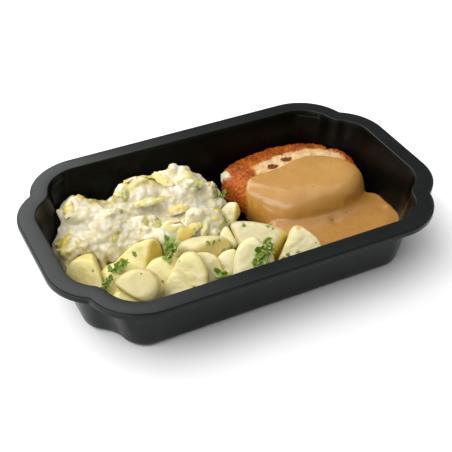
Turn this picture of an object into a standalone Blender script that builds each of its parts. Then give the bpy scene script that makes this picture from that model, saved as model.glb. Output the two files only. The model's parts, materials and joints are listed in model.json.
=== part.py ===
"""Ready-meal tray with creamed leeks, boiled potatoes and a breaded patty under cream sauce.

Sizes are in millimetres and are turned into metres when a mesh is made.
+X runs along the tray's length, +Y to the back, +Z up; z = 0 is the surface it stands on.
"""
import math

import bmesh
import bpy
import numpy as np
from mathutils import Matrix, Vector, noise

# Tray, outer outline measured at the lip
TRAY_LENGTH = 228.8
TRAY_WIDTH = 144.7
TRAY_HEIGHT = 39.5
SHEET = 0.7
LONG_LOBE_RADIUS = 31.6
LONG_LOBE_INSET = 44.7
SHORT_LOBE_RADIUS = 30.5
SHORT_LOBE_INSET = 50.2
NOTCH_RADIUS = 2.4
RIM_INNER_INSET = 10.0
BASE_INSET = 17.6
BASE_FILLET = 5.4
FILLET_STEPS = 3
LIP_DROP = 3.4
LIP_ROUND = 0.3
LEDGE_STEP = 0.75
LEDGE_WIDTH = 0.75
RIM_ROUND = 0.6
RIM_TURN = 1.5
WALL_MIDDLE = 22.0
LUG_ANGLE = math.radians(50)
LUG_HALF_ANGLE = math.radians(23)
LUG_TOP = 36.0
LUG_STEP = 0.5
LUG_DRAFT = math.tan(math.radians(8.3))
LOBE_SEGMENTS = (8, 3, 6)

# Fit between neighbours
GAP = 0.35
FLOOR_Z = SHEET + GAP
WALL_CLEARANCE = 0.5
CUT_MARGIN = 0.25
FLAT_ANGLE = 4.0

# Patty
PATTY_CENTRE = (57.0, 24.0)
PATTY_HALF = (40.5, 33.5)
PATTY_HEIGHT = 20.5
PATTY_SQUARENESS = 2.2
PATTY_EDGE = 4.4
# the front leans back above this height, by this much for each millimetre up
PATTY_LEAN = 0.45
PATTY_LEAN_START = 9.0
# full back left corner and cut front left corner: angle, spread in degrees, share of the radius
PATTY_CORNERS = ((145, 24, 0.14), (-160, 30, -0.10))
PATTY_UNEVEN = 0.012
PATTY_SEGMENTS = (42, 9)
CRUMB_RELIEF = 0.5
CRUMB_PEAK = 0.3
CRUMB_SIZE = 2.9
CRUMB_START = 2.0

# Sauce
SAUCE_LEVEL = 10.5
SAUCE_THICKNESS = 2.6
DRAPE_MIDDLE = 56.5
DRAPE_HALF_LEFT = 37.5
DRAPE_HALF_RIGHT = 35.5
DRAPE_FRONT = 3.5
DRAPE_DEPTH = 28.0
DRAPE_SLANT = 0.1
DRAPE_POWER = 2.6
DRAPE_POINTS = 15
DRAPE_WAVE = 2.8
DRAPE_WAVE_START = 30.0
DRAPE_WAVE_LENGTH = 52.0
POOL_LEFT = 12.0
POOL_BACK = 4.0
POOL_STEP = 5.0
POOL_ROWS = 15
POOL_RIPPLE = 0.35
POOL_RIPPLE_SIZE = 17.0
POOL_EDGE = 7.0
POOL_EDGE_DROP = 7.5

# Potatoes: centre, half sizes and turn of the rounded body, then the knife cuts. A cut is
# (azimuth, rise, distance), or (angle, distance) for a side cut square to the view of the tray
POTATOES = {
    "potato_1": ((-85, -2, 13), (17, 20, 14), 0,
                 [(165, 13), (140, 13), (115, 12.5), (85, 12), (30, 9), (230, 42, 8), (60, 72, 10)]),
    "potato_2": ((-56, 0, 13), (24, 15, 15), -20,
                 [(132, 7.5), (110, 8), (85, 11.5), (25, 13), (0, 13), (222, 42, 7), (297, 10, 8)]),
    "potato_3": ((-67, -30, 20.5), (15, 12.5, 10.5), -20,
                 [(140, 12), (115, 10), (87, 8.5), (50, 9.5), (20, 10), (350, 11), (232, 8), (230, 62, 8)]),
    "potato_4": ((-77, -33, 11), (13, 13, 11), 0, [(150, 9), (235, 60, 9)]),
    "potato_5": ((-41, -30, 15.5), (24, 18, 17), -20,
                 [(152, 8.5), (115, 13.5), (80, 15), (35, 13), (0, 11.5), (225, 40, 8)]),
    "potato_6": ((-29, -24, 13.5), (15, 15, 14), 0,
                 [(105, 9), (75, 9), (40, 10), (10, 11), (245, 45, 9)]),
    "potato_7": ((-20, -10, 13.5), (19, 13, 12), -24,
                 [(135, 12.5), (105, 8), (88, 7.5), (60, 11), (5, 14.5), (330, 13), (90, 84, 8.5), (283, 22, 7.5)]),
    "potato_8": ((-13, -22, 10), (9, 10, 10), 0, [(130, 6), (100, 7), (10, 6), (345, 6), (240, 45, 6)]),
    "potato_9": ((7, 14, 14), (8, 9, 11), -20,
                 [(135, 5), (85, 6), (15, 5.5), (335, 5), (215, 6), (215, 38, 5), (305, 10, 5.5)]),
    "potato_10": ((13, -11, 12), (22, 17, 13), -34,
                  [(125, 16), (72, 7.5), (88, 8), (25, 17), (205, 13), (225, 12.5), (215, 72, 8), (306, -4, 14.5)]),
    "potato_11": ((-3, -32, 16), (18, 17, 17), -20,
                  [(172, 9), (140, 10), (105, 12), (45, 10.5), (5, 12), (238, 42, 7.5)]),
    "potato_12": ((28, -31, 13), (18, 16, 17), -10,
                  [(155, 8), (100, 13), (57, 10), (25, 11), (232, 42, 6.5)]),
    "potato_13": ((-3, -3, 9), (7, 9, 8.5), 0, [(170, 5), (145, 6), (30, 4), (305, 6), (235, 50, 6)]),
    "potato_14": ((-71, -12, 10), (12, 14, 10), 10, [(225, 52, 8)]),
    "potato_15": ((-47, -17, 10), (12, 12, 10), 0, [(225, 52, 8)]),
}
VIEW_AZIMUTH = 243.7
VIEW_RISE = 37.9
POTATO_ROUNDING = 22
POTATO_DETAIL = 3
SMALL_POTATO = 14.5
SMALL_POTATO_DETAIL = 2

# Leek heap: lumps of coated leek as (centre, half sizes, turn)
HEAP_LUMPS = [
    ((-75, 42, 12.5), (21, 17, 17.5), -15),
    ((-85, 22, 8), (16, 19.6, 15.5), 10),
    ((-57, 29, 9), (20, 25, 16), 0),
    ((-63, 26, 12), (15, 14, 14.5), 0),
    ((-35, 42, 14), (23, 17, 19), 0),
    ((-14, 35, 15), (20, 19, 19), -20),
    ((-42, 14, 8), (24, 16, 15), -8),
    ((-12, 14, 9), (17, 16, 15), 0),
    ((-2, 27, 11), (10, 15, 15), 0),
]
LUMP_RELIEF = 2.2
LUMP_RELIEF_SIZE = 9.0
LUMP_RELIEF_SHARE = 0.2
HEAP_BACK_ROW = 34

# Small crags and leek rings on the heap: centre, half sizes, turn
HEAP_CRAGS = [
    ((-76, 46, 27), (6.5, 5, 5), 30),
    ((-88, 44, 23), (5, 5, 6), 0),
    ((-46.5, 44, 27), (6, 5, 4.5), -20),
    ((-22, 45, 30), (8, 5, 4.5), -30),
    ((-9.5, 44, 30.5), (5, 4, 4.5), 20),
    ((1.5, 30, 23), (6, 6, 5), 0),
    ((-16, 12, 20), (8, 6, 5.5), -20),
    ((-92, 18, 15), (5, 7, 6), 0),
    ((-44, 20, 20), (9, 6, 5), 10),
]

# Leek strips that show: centre, heading and rise of the long side, facing (azimuth, rise), length, width
LEEK_STRIPS = [
    ((-33, 48, 32), (-20, 0), (90, 60), 16, 7),
    ((-23, 20, 23), (-20, 5), (240, 50), 11, 4),
    ((-36, 3, 19.5), (-10, 15), (260, 45), 19, 7),
    ((-22, 6, 18.5), (-10, 20), (230, 50), 8, 4.5),
    ((-4.5, 5, 17.5), (60, 50), (290, 30), 13, 6.5),
    ((-14, 26, 34), (-30, 5), (240, 65), 12, 5.5),
    ((2, 24, 25.5), (80, 50), (320, 35), 7, 4),
    ((-35, 33, 31.5), (-60, -15), (240, 60), 10, 5),
    ((-80, 38, 30.6), (70, 10), (200, 70), 9, 4.5),
    ((-96.5, 22, 17), (-70, -40), (190, 30), 9, 5),
    ((-71, 10, 16), (-60, -40), (235, 40), 8, 4.5),
    ((-56, 21, 24), (10, 0), (240, 60), 10, 5),
]
STRIP_THICKNESS = 1.6
STRIP_TAPER = 0.35
STRIP_BEND = 0.12
STRIP_CUP = 0.3

# Parsley leaves: centre, facing (azimuth, rise), turn in their own plane, length, width
PARSLEY_LEAVES = {
    "parsley_1": ((-42.5, -11.5, 22.5), (240, 50), 20, 10, 9),
    "parsley_2": ((1.5, -37.6, 26.2), (240, 42), 75, 11, 6.5),
    "parsley_3": ((-4.2, -41.2, 22.0), (240, 42), 60, 8, 6.5),
    "parsley_4": ((-72.5, -11.7, 21.8), (228, 62), 40, 9, 8),
    "parsley_5": ((-79.8, -15.0, 16.6), (228, 50), 20, 7, 6),
    "parsley_6": ((-19.0, -31.0, 10.2), (243, 38), 10, 8, 6),
}
LEAF_THICKNESS = 0.55
LEAF_WAVE = 0.5
LEAF_LOBE = 0.28
LEAF_INNER = 0.55
LEAF_POINTS = 12
LEAF_LIFT = 0.15

# Small parsley flakes fused to a potato: direction from its centre (azimuth, rise), length, width
PARSLEY_FLAKES = {
    "potato_2": [(199, 59, 5.0, 3.0)],
    "potato_5": [(269, 17, 3.5, 2.5)],
    "potato_7": [(262, 59, 5.0, 4.0), (302, 58, 4.0, 3.0)],
    "potato_10": [(153, 40, 4.5, 3.0), (315, 58, 4.0, 3.0)],
    "potato_12": [(230, 16, 4.5, 3.0), (200, 2, 4.0, 3.0)],
}
FLAKE_THICKNESS = 1.6
FLAKE_RISE = 0.1
FLAKE_POINTS = 8


def unit(azimuth, rise):
    """Direction from an azimuth about +Z and a rise above level, both in degrees."""
    a = math.radians(azimuth)
    e = math.radians(rise)
    return np.array([math.cos(e) * math.cos(a), math.cos(e) * math.sin(a), math.sin(e)])


def side(angle):
    """Direction square to the view of the tray, turned up from the right by an angle."""
    across = unit(VIEW_AZIMUTH + 90, 0)
    up = np.cross(unit(VIEW_AZIMUTH, VIEW_RISE), across)
    a = math.radians(angle)
    return across * math.cos(a) + up * math.sin(a)


def make_material(name, colour, roughness, metallic=0.0):
    material = bpy.data.materials.new(name)
    material.use_nodes = True
    shader = material.node_tree.nodes["Principled BSDF"]
    shader.inputs["Base Color"].default_value = (*colour, 1.0)
    shader.inputs["Roughness"].default_value = roughness
    shader.inputs["Metallic"].default_value = metallic
    return material


def make_object(name, points, faces, material=None, crease=35):
    """Object from points in millimetres, faces pointing out."""
    mesh = bpy.data.meshes.new(name)
    mesh.from_pydata([tuple(float(c) * 0.001 for c in p) for p in points], [], faces)
    work = bmesh.new()
    work.from_mesh(mesh)
    bmesh.ops.recalc_face_normals(work, faces=work.faces)
    work.to_mesh(mesh)
    work.free()
    if material:
        mesh.materials.append(material)
    mesh.shade_smooth()
    mesh.set_sharp_from_angle(angle=math.radians(crease))
    result = bpy.data.objects.new(name, mesh)
    bpy.context.scene.collection.objects.link(result)
    return result


def as_cutter(thing):
    thing.hide_render = True
    thing.display_type = "WIRE"
    return thing


def add_boolean(thing, operation, tool):
    step = thing.modifiers.new(operation.lower(), "BOOLEAN")
    step.operation = operation
    step.solver = "EXACT"
    step.object = tool


def fuse(thing, pieces):
    """Join pieces onto a thing with one Boolean union, then remove them."""
    group = bpy.data.collections.new(thing.name + "_pieces")
    bpy.context.scene.collection.children.link(group)
    for piece in pieces:
        bpy.context.scene.collection.objects.unlink(piece)
        group.objects.link(piece)
    step = thing.modifiers.new("fuse", "BOOLEAN")
    step.operand_type = "COLLECTION"
    step.collection = group
    step.operation = "UNION"
    step.solver = "MANIFOLD"
    bake(thing)
    for piece in pieces:
        bpy.data.objects.remove(piece)
    bpy.data.collections.remove(group)


def bake(thing):
    """Apply every modifier of a thing."""
    graph = bpy.context.evaluated_depsgraph_get()
    mesh = bpy.data.meshes.new_from_object(thing.evaluated_get(graph))
    old = thing.data
    thing.modifiers.clear()
    thing.data = mesh
    bpy.data.meshes.remove(old)


def ring_faces(count, ring_total):
    """Quads between neighbouring rings, and a face over each end."""
    faces = [tuple(range(count))]
    for ring in range(ring_total - 1):
        for i in range(count):
            j = (i + 1) % count
            a = ring * count
            faces.append((a + i, a + j, a + count + j, a + count + i))
    faces.append(tuple(range((ring_total - 1) * count, ring_total * count)))
    return faces


# Tray

LONG_LOBE = (TRAY_LENGTH / 2 - LONG_LOBE_INSET, TRAY_WIDTH / 2 - LONG_LOBE_RADIUS)
SHORT_LOBE = (TRAY_LENGTH / 2 - SHORT_LOBE_RADIUS, TRAY_WIDTH / 2 - SHORT_LOBE_INSET)
WALL_SLOPE = (BASE_INSET - RIM_INNER_INSET + SHEET) / TRAY_HEIGHT


def notch_centre():
    """Centre of the hollow fillet that is tangent to both lobes."""
    to_long = LONG_LOBE_RADIUS + NOTCH_RADIUS
    to_short = SHORT_LOBE_RADIUS + NOTCH_RADIUS
    apart = np.subtract(SHORT_LOBE, LONG_LOBE)
    span = np.hypot(*apart)
    along = (span ** 2 + to_long ** 2 - to_short ** 2) / (2 * span)
    across = math.sqrt(to_long ** 2 - along ** 2)
    forward = apart / span
    return np.array(LONG_LOBE) + forward * along + np.array([-forward[1], forward[0]]) * across


NOTCH = notch_centre()


def lug_reach(z, inset_skin):
    """Distance from the long lobe's centre to the flat stacking lug at a height."""
    flat = (LONG_LOBE_RADIUS - RIM_INNER_INSET) * math.cos(LUG_HALF_ANGLE)
    return flat - inset_skin - (LUG_TOP - z) * LUG_DRAFT


def outline(inset, lug_distance=None):
    """Closed outline at an inset; a lug distance flattens the middle of the long lobes."""
    n_long, n_notch, n_short = LOBE_SEGMENTS
    turn_1 = math.atan2(NOTCH[1] - LONG_LOBE[1], NOTCH[0] - LONG_LOBE[0])
    turn_2 = math.atan2(NOTCH[1] - SHORT_LOBE[1], NOTCH[0] - SHORT_LOBE[0])
    corner = []
    for t in np.linspace(math.pi / 2, turn_1, n_long + 1):
        reach = LONG_LOBE_RADIUS - inset
        if lug_distance is not None:
            reach = min(reach, lug_distance / max(math.cos(t - LUG_ANGLE), 0.2))
        corner.append((LONG_LOBE[0] + reach * math.cos(t), LONG_LOBE[1] + reach * math.sin(t)))
    for t in np.linspace(turn_1 + math.pi, turn_2 + math.pi, n_notch + 1)[1:-1]:
        reach = NOTCH_RADIUS + inset
        corner.append((NOTCH[0] + reach * math.cos(t), NOTCH[1] + reach * math.sin(t)))
    for t in np.linspace(turn_2, 0, n_short + 1):
        reach = SHORT_LOBE_RADIUS - inset
        corner.append((SHORT_LOBE[0] + reach * math.cos(t), SHORT_LOBE[1] + reach * math.sin(t)))
    right = corner + [(x, -y) for x, y in reversed(corner)]
    return right + [(-x, -y) for x, y in right]


def base_fillet(floor_inset, floor_z, radius):
    """Insets and heights round the fillet between wall and base, wall side first."""
    lean = math.atan(WALL_SLOPE)
    tangent = radius * math.tan((math.pi / 2 - lean) / 2)
    centre_inset = floor_inset + tangent
    points = []
    for t in np.linspace(lean, math.pi / 2, FILLET_STEPS + 1):
        points.append((centre_inset - radius * math.cos(t), floor_z + radius - radius * math.sin(t)))
    return points


def wall_inset(z, skin):
    """Inset of the wall at a height: skin 0 is the outer face, SHEET the inner one."""
    return BASE_INSET - z * WALL_SLOPE + skin * (1 + WALL_SLOPE)


def tray_rings():
    """The tray's closed section as (inset, height, lug distance), from outer base to inner base."""
    top = TRAY_HEIGHT
    shelf = top - LEDGE_STEP
    under = top - RIM_TURN
    rings = []
    for inset, z in reversed(base_fillet(BASE_INSET, 0.0, BASE_FILLET)):
        rings.append((inset, z, None))
    for z in (WALL_MIDDLE, LUG_TOP - SHEET - LUG_STEP):
        rings.append((wall_inset(z, 0), z, lug_reach(z, 0)))
    rings.append((wall_inset(LUG_TOP - SHEET, 0), LUG_TOP - SHEET, None))
    rings.append((wall_inset(under, 0), under, None))
    rings.append((wall_inset(under, 0) - RIM_ROUND, top - SHEET, None))
    rings.append((LEDGE_WIDTH + LIP_ROUND + SHEET, top - SHEET, None))
    rings.append((LEDGE_WIDTH, shelf - SHEET, None))
    rings.append((SHEET, top - LIP_DROP, None))
    rings.append((0.0, top - LIP_DROP, None))
    rings.append((0.0, shelf - LIP_ROUND, None))
    rings.append((LIP_ROUND, shelf, None))
    rings.append((LEDGE_WIDTH, shelf, None))
    rings.append((LEDGE_WIDTH + LIP_ROUND, top - LIP_ROUND, None))
    rings.append((LEDGE_WIDTH + RIM_ROUND, top, None))
    rings.append((RIM_INNER_INSET - RIM_ROUND, top, None))
    rings.append((RIM_INNER_INSET, top - LIP_ROUND, None))
    rings.append((wall_inset(top - LIP_ROUND - SHEET, SHEET), top - LIP_ROUND - SHEET, None))
    rings.append((wall_inset(LUG_TOP + LUG_STEP, SHEET), LUG_TOP + LUG_STEP, None))
    for z in (LUG_TOP, WALL_MIDDLE):
        rings.append((wall_inset(z, SHEET), z, lug_reach(z, SHEET)))
    for inset, z in base_fillet(wall_inset(SHEET, SHEET), SHEET, BASE_FILLET - SHEET):
        rings.append((inset, z, None))
    return rings


def loft(name, rings, material=None):
    points = []
    for inset, z, lug in rings:
        points += [(x, y, z) for x, y in outline(inset, lug)]
    count = len(points) // len(rings)
    return make_object(name, points, ring_faces(count, len(rings)), material, 28)


def make_tray():
    return loft("tray", tray_rings(), make_material("black_plastic", (0.022, 0.023, 0.024), 0.35))


def make_interior():
    """Closed volume of the tray's inside, one gap clear of its walls and base."""
    rings = []
    for inset, z in reversed(base_fillet(wall_inset(SHEET, SHEET), SHEET, BASE_FILLET - SHEET)):
        rings.append((inset + GAP, z + GAP, None))
    for z in (WALL_MIDDLE, LUG_TOP):
        rings.append((wall_inset(z, SHEET) + GAP, z, lug_reach(z, SHEET) - GAP))
    rings.append((wall_inset(LUG_TOP + LUG_STEP, SHEET) + GAP, LUG_TOP + LUG_STEP, None))
    rings.append((wall_inset(TRAY_HEIGHT, SHEET) + GAP, TRAY_HEIGHT, None))
    return as_cutter(loft("interior", rings))


def inside_tray(point):
    """True where a point is clear of the tray's walls and base."""
    x, y, z = abs(point[0]), abs(point[1]), point[2]
    if z < FLOOR_Z:
        return False
    inset = wall_inset(z, SHEET) + WALL_CLEARANCE
    radius = BASE_FILLET - SHEET
    above = (z - SHEET) / radius
    if above < 1:
        inset += radius * (1 - math.sqrt(1 - (1 - above) ** 2))
    if x <= LONG_LOBE[0] or y <= SHORT_LOBE[1]:
        return x <= TRAY_LENGTH / 2 - inset and y <= TRAY_WIDTH / 2 - inset
    in_long = math.hypot(x - LONG_LOBE[0], y - LONG_LOBE[1])
    angle = math.atan2(y - LONG_LOBE[1], x - LONG_LOBE[0])
    reach = LONG_LOBE_RADIUS - inset
    if z < LUG_TOP + LUG_STEP and abs(angle - LUG_ANGLE) < 1:
        reach = min(reach, (lug_reach(z, SHEET) - WALL_CLEARANCE) / math.cos(angle - LUG_ANGLE))
    in_short = math.hypot(x - SHORT_LOBE[0], y - SHORT_LOBE[1])
    return in_long <= reach or in_short <= SHORT_LOBE_RADIUS - inset


def draw_inside(centre, points):
    """Points drawn in towards a centre until they are clear of the tray."""
    result = []
    for point in points:
        share = 1.0
        if not inside_tray(point):
            low, high = 0.0, 1.0
            for _ in range(14):
                share = (low + high) / 2
                if inside_tray(centre + (point - centre) * share):
                    low = share
                else:
                    high = share
            share = low
        result.append(centre + (point - centre) * share)
    return np.array(result)


# Potatoes

def sphere_grid(detail):
    """Directions and triangles of an even ball."""
    work = bmesh.new()
    bmesh.ops.create_icosphere(work, subdivisions=detail, radius=1.0)
    directions = np.array([v.co.normalized() for v in work.verts])
    faces = [tuple(v.index for v in f.verts) for f in work.faces]
    work.free()
    return directions, faces


class Chunk:
    """A cut piece of potato: a rounded body trimmed by flat cuts, star-shaped about its centre."""

    def __init__(self, name, centre, half, turn, cuts):
        self.name = name
        self.centre = np.array(centre, float)
        self.half = np.array(half, float)
        spin = math.radians(turn)
        self.axes = np.array([[math.cos(spin), math.sin(spin), 0], [-math.sin(spin), math.cos(spin), 0], [0, 0, 1]])
        self.cuts = [(side(cut[0]) if len(cut) == 2 else unit(cut[0], cut[1]), cut[-1]) for cut in cuts]
        self.contacts = []

    def reach(self, directions):
        """Distance from the centre to the surface along each direction."""
        body = np.linalg.norm((directions @ self.axes.T) / self.half, axis=1)
        total = body ** POTATO_ROUNDING
        for normal, distance in self.cuts:
            total += (np.maximum(directions @ normal, 0) / distance) ** POTATO_ROUNDING
        result = total ** (-1 / POTATO_ROUNDING)
        for normal, distance in self.contacts:
            facing = directions @ normal
            result = np.where(facing > 1e-6, np.minimum(result, distance / np.maximum(facing, 1e-6)), result)
        return result

    def points(self, directions, grow=0.0):
        return self.centre + directions * (self.reach(directions) + grow)[:, None]


def widest_gap(points_a, points_b, candidates):
    """Direction in which two pieces overlap least, with their facing ends along it."""
    ends_a = (points_a @ candidates.T).max(axis=0)
    ends_b = (points_b @ candidates.T).min(axis=0)
    best = (ends_b - ends_a).argmax()
    return candidates[best], ends_a[best], ends_b[best]


def separate(chunks, directions, fixed_points):
    """Flatten touching pieces against each other, and against what is fixed."""
    candidates = sphere_grid(3)[0]
    for _ in range(2):
        for i, a in enumerate(chunks):
            for b in chunks[i + 1:]:
                normal, end_a, end_b = widest_gap(a.points(directions), b.points(directions), candidates)
                if end_b - end_a < GAP:
                    middle = (end_a + end_b) / 2
                    a.contacts.append((normal, middle - GAP / 2 - normal @ a.centre))
                    b.contacts.append((-normal, normal @ b.centre - middle - GAP / 2))
            normal, end_a, end_b = widest_gap(a.points(directions), fixed_points, candidates)
            if end_b - end_a < GAP:
                a.contacts.append((normal, end_b - GAP - normal @ a.centre))


def make_potatoes(patty_points):
    chunks = [Chunk(name, *values) for name, values in POTATOES.items()]
    directions, faces = sphere_grid(POTATO_DETAIL)
    separate(chunks, directions, patty_points)
    material = make_material("boiled_potato", (0.78, 0.68, 0.36), 0.42)
    parsley = make_material("parsley_flake", (0.13, 0.24, 0.04), 0.5)
    cutters = []
    for chunk in chunks:
        directions, faces = sphere_grid(SMALL_POTATO_DETAIL if max(chunk.half) < SMALL_POTATO else POTATO_DETAIL)
        points = draw_inside(chunk.centre, chunk.points(directions))
        potato = make_object(chunk.name, points, faces, material, 50)
        grown = points + directions * (GAP + CUT_MARGIN)
        cutters.append(as_cutter(make_object(chunk.name + "_clearance", grown, faces)))
        add_flakes(potato, chunk, parsley)
    return chunks, cutters


# Parsley

def make_leaf(name, centre, normal, turn, length, width, thickness, count, material):
    """Thin wavy leaf with a lobed outline, both faces split alike."""
    normal = Vector(normal).normalized()
    across = normal.cross(Vector((0, 0, 1))).normalized()
    spin = Matrix.Rotation(math.radians(turn), 3, normal)
    across = spin @ across
    along = normal.cross(across)
    faces = []
    skins = ([], [])
    for scale in (LEAF_INNER, 1.0):
        for i in range(count):
            angle = 2 * math.pi * i / count
            lobe = 1 + (LEAF_LOBE * math.cos(angle * count / 2) if scale == 1.0 else 0)
            flat = (along * math.cos(angle) * length / 2 + across * math.sin(angle) * width / 2) * scale * lobe
            wave = normal * (LEAF_WAVE * scale * math.sin(3 * angle + length))
            for skin, way in zip(skins, (0.5, -0.5)):
                skin.append(Vector(centre) + flat + wave + normal * way * thickness)
    points = skins[0] + skins[1] + [Vector(centre) + normal * way * thickness for way in (0.5, -0.5)]
    middle = 4 * count
    for side_start, hub in ((0, middle), (2 * count, middle + 1)):
        for i in range(count):
            j = (i + 1) % count
            inner = (side_start + i, side_start + j)
            outer = (side_start + count + i, side_start + count + j)
            faces.append((hub, inner[0], inner[1]))
            faces.append((inner[0], outer[0], outer[1]))
            faces.append((inner[0], outer[1], inner[1]))
    for i in range(count):
        j = (i + 1) % count
        faces.append((count + i, 3 * count + i, 3 * count + j, count + j))
    return make_object(name, points, faces, material, 80)


def touches_potato(leaf, chunks):
    """True where a point of a leaf is in a potato or closer to it than a gap."""
    points = np.array([v.co for v in leaf.data.vertices]) * 1000
    for chunk in chunks:
        away = points - chunk.centre
        distance = np.linalg.norm(away, axis=1)
        if (distance < chunk.reach(away / distance[:, None]) + GAP).any():
            return True
    return False


def make_parsley(chunks):
    """Leaves laid on the potatoes, each lifted along its facing until it is clear."""
    material = make_material("parsley", (0.13, 0.24, 0.04), 0.5)
    for name, (centre, facing, turn, length, width) in PARSLEY_LEAVES.items():
        normal = unit(*facing)
        leaf = make_leaf(name, centre, normal, turn, length, width, LEAF_THICKNESS, LEAF_POINTS, material)
        while touches_potato(leaf, chunks):
            leaf.data.transform(Matrix.Translation(Vector(normal) * LEAF_LIFT * 0.001))


def add_flakes(potato, chunk, material):
    flakes = []
    for azimuth, rise, length, width in PARSLEY_FLAKES.get(chunk.name, []):
        around = [unit(azimuth, rise), unit(azimuth + 8, rise), unit(azimuth, rise + 8)]
        spots = chunk.points(np.array(around))
        normal = np.cross(spots[1] - spots[0], spots[2] - spots[0])
        normal = normal / np.linalg.norm(normal)
        centre = spots[0] + normal * FLAKE_RISE
        flakes.append(make_leaf(chunk.name + "_flake", centre, normal, azimuth, length, width,
                                FLAKE_THICKNESS, FLAKE_POINTS, material))
    if flakes:
        fuse(potato, flakes)
        tidy_mesh(potato, 0)


# Patty

def patty_reach(angle):
    """Outline radius of the patty, uneven as a hand-shaped one is."""
    c = abs(math.cos(angle)) / PATTY_HALF[0]
    s = abs(math.sin(angle)) / PATTY_HALF[1]
    plain = (c ** PATTY_SQUARENESS + s ** PATTY_SQUARENESS) ** (-1 / PATTY_SQUARENESS)
    uneven = PATTY_UNEVEN * math.sin(5 * angle)
    for corner, spread, share in PATTY_CORNERS:
        apart = (math.degrees(angle) - corner + 180) % 360 - 180
        uneven += share * math.exp(-(apart / spread) ** 2)
    return plain * (1 + uneven)


def patty_surface(angle, rise, grow=0.0):
    """Point of the patty's skin: rise runs from -90 at the underside to 90 degrees at the top."""
    across = max(math.cos(rise), 0.0) ** (2 / PATTY_EDGE)
    up = math.copysign(abs(math.sin(rise)) ** (2 / PATTY_EDGE), math.sin(rise))
    z = FLOOR_Z + PATTY_HEIGHT / 2 + up * (PATTY_HEIGHT / 2 + grow)
    front = min(max(0.2 - 1.2 * math.sin(angle), 0.0), 1.0)
    lean = PATTY_LEAN * front * max(z - PATTY_LEAN_START, 0.0)
    reach = (patty_reach(angle) + grow - lean) * across
    return np.array([
        PATTY_CENTRE[0] + math.cos(angle) * reach,
        PATTY_CENTRE[1] + math.sin(angle) * reach,
        z,
    ])


def patty_mesh(name, grow, material=None, relief=0.0):
    around, up = PATTY_SEGMENTS
    points = [patty_surface(0, -math.pi / 2, grow)]
    rises = np.linspace(-math.pi / 2, math.pi / 2, up + 2)[1:-1]
    for rise in rises:
        for i in range(around):
            angle = 2 * math.pi * (i + 0.5 * (len(points) // around % 2)) / around
            point = patty_surface(angle, rise, grow)
            if relief and point[2] > FLOOR_Z + CRUMB_START:
                bump = noise.noise(Vector(point) / CRUMB_SIZE) * relief
                point = patty_surface(angle, rise, grow + min(bump, CRUMB_PEAK))
            points.append(point)
    points.append(patty_surface(0, math.pi / 2, grow))
    if relief:
        points = draw_inside(np.array([*PATTY_CENTRE, FLOOR_Z + PATTY_HEIGHT / 2]), points)
    faces = [(0, 1 + (i + 1) % around, 1 + i) for i in range(around)]
    for ring in range(up - 1):
        a = 1 + ring * around
        for i in range(around):
            j = (i + 1) % around
            faces.append((a + i, a + j, a + around + j, a + around + i))
    last = 1 + (up - 1) * around
    faces += [(last + i, last + (i + 1) % around, len(points) - 1) for i in range(around)]
    return make_object(name, points, faces, material, 60)


def make_patty():
    crust = make_material("fried_crumb", (0.42, 0.14, 0.03), 0.65)
    patty = patty_mesh("patty", 0.0, crust, relief=CRUMB_RELIEF)
    clearance = as_cutter(patty_mesh("patty_clearance", GAP + CRUMB_PEAK))
    points = np.array([v.co for v in clearance.data.vertices]) * 1000
    return patty, clearance, points


# Sauce

def drape_back(x):
    """Where the sauce ends on top of the patty, as a y for each x."""
    away = x - DRAPE_MIDDLE
    half = DRAPE_HALF_RIGHT if away > 0 else DRAPE_HALF_LEFT
    u = min(abs(away) / half, 1.0)
    arc = (1 - u ** DRAPE_POWER) ** (1 / DRAPE_POWER)
    wave = DRAPE_WAVE * math.sin(2 * math.pi * (x - DRAPE_WAVE_START) / DRAPE_WAVE_LENGTH)
    return DRAPE_FRONT + DRAPE_DEPTH * arc - DRAPE_SLANT * away - wave * arc


def make_drape_region():
    """Upright block whose back follows the edge of the sauce on the patty."""
    left = DRAPE_MIDDLE - DRAPE_HALF_LEFT
    right = DRAPE_MIDDLE + DRAPE_HALF_RIGHT
    middle = (left + right) / 2
    xs = middle - (right - left) / 2 * np.cos(np.linspace(0, math.pi, DRAPE_POINTS))
    plan = [(x, drape_back(x)) for x in xs]
    plan += [(TRAY_LENGTH / 2, drape_back(right) - 1), (TRAY_LENGTH / 2, -TRAY_WIDTH / 2)]
    plan += [(left, -TRAY_WIDTH / 2)]
    points = [(x, y, z) for z in (-TRAY_HEIGHT, 2 * TRAY_HEIGHT) for x, y in plan]
    return as_cutter(make_object("drape_region", points, ring_faces(len(plan), 2)))


def pool_height(x, y):
    ripple = POOL_RIPPLE * noise.noise(Vector((x, y, 0)) / POOL_RIPPLE_SIZE)
    fall = max(y - (POOL_BACK - POOL_EDGE), 0) / POOL_EDGE
    return SAUCE_LEVEL + ripple - POOL_EDGE_DROP * fall ** 2


def make_pool():
    """Level sauce in the front right of the tray, before it is trimmed to the walls."""
    xs = np.arange(POOL_LEFT, TRAY_LENGTH / 2, POOL_STEP)
    ys = np.linspace(-TRAY_WIDTH / 2, POOL_BACK, POOL_ROWS)
    top = [(x, y, pool_height(x, y)) for y in ys for x in xs]
    bottom = [(x, y, 0.0) for y in ys for x in xs]
    n = len(xs)
    m = len(ys)
    faces = []
    for j in range(m - 1):
        for i in range(n - 1):
            a = j * n + i
            faces.append((a, a + 1, a + n + 1, a + n))
    base = n * m
    rim = list(range(n)) + [n * j + n - 1 for j in range(1, m)]
    rim += [n * (m - 1) + i for i in reversed(range(n - 1))] + [n * j for j in reversed(range(1, m - 1))]
    for k, a in enumerate(rim):
        b = rim[(k + 1) % len(rim)]
        faces.append((b, a, base + k, base + (k + 1) % len(rim)))
    faces.append(tuple(base + k for k in range(len(rim))))
    points = top + [bottom[k] for k in rim]
    return make_object("sauce", points, faces, make_material("cream_sauce", (0.60, 0.36, 0.14), 0.22), 60)


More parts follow.
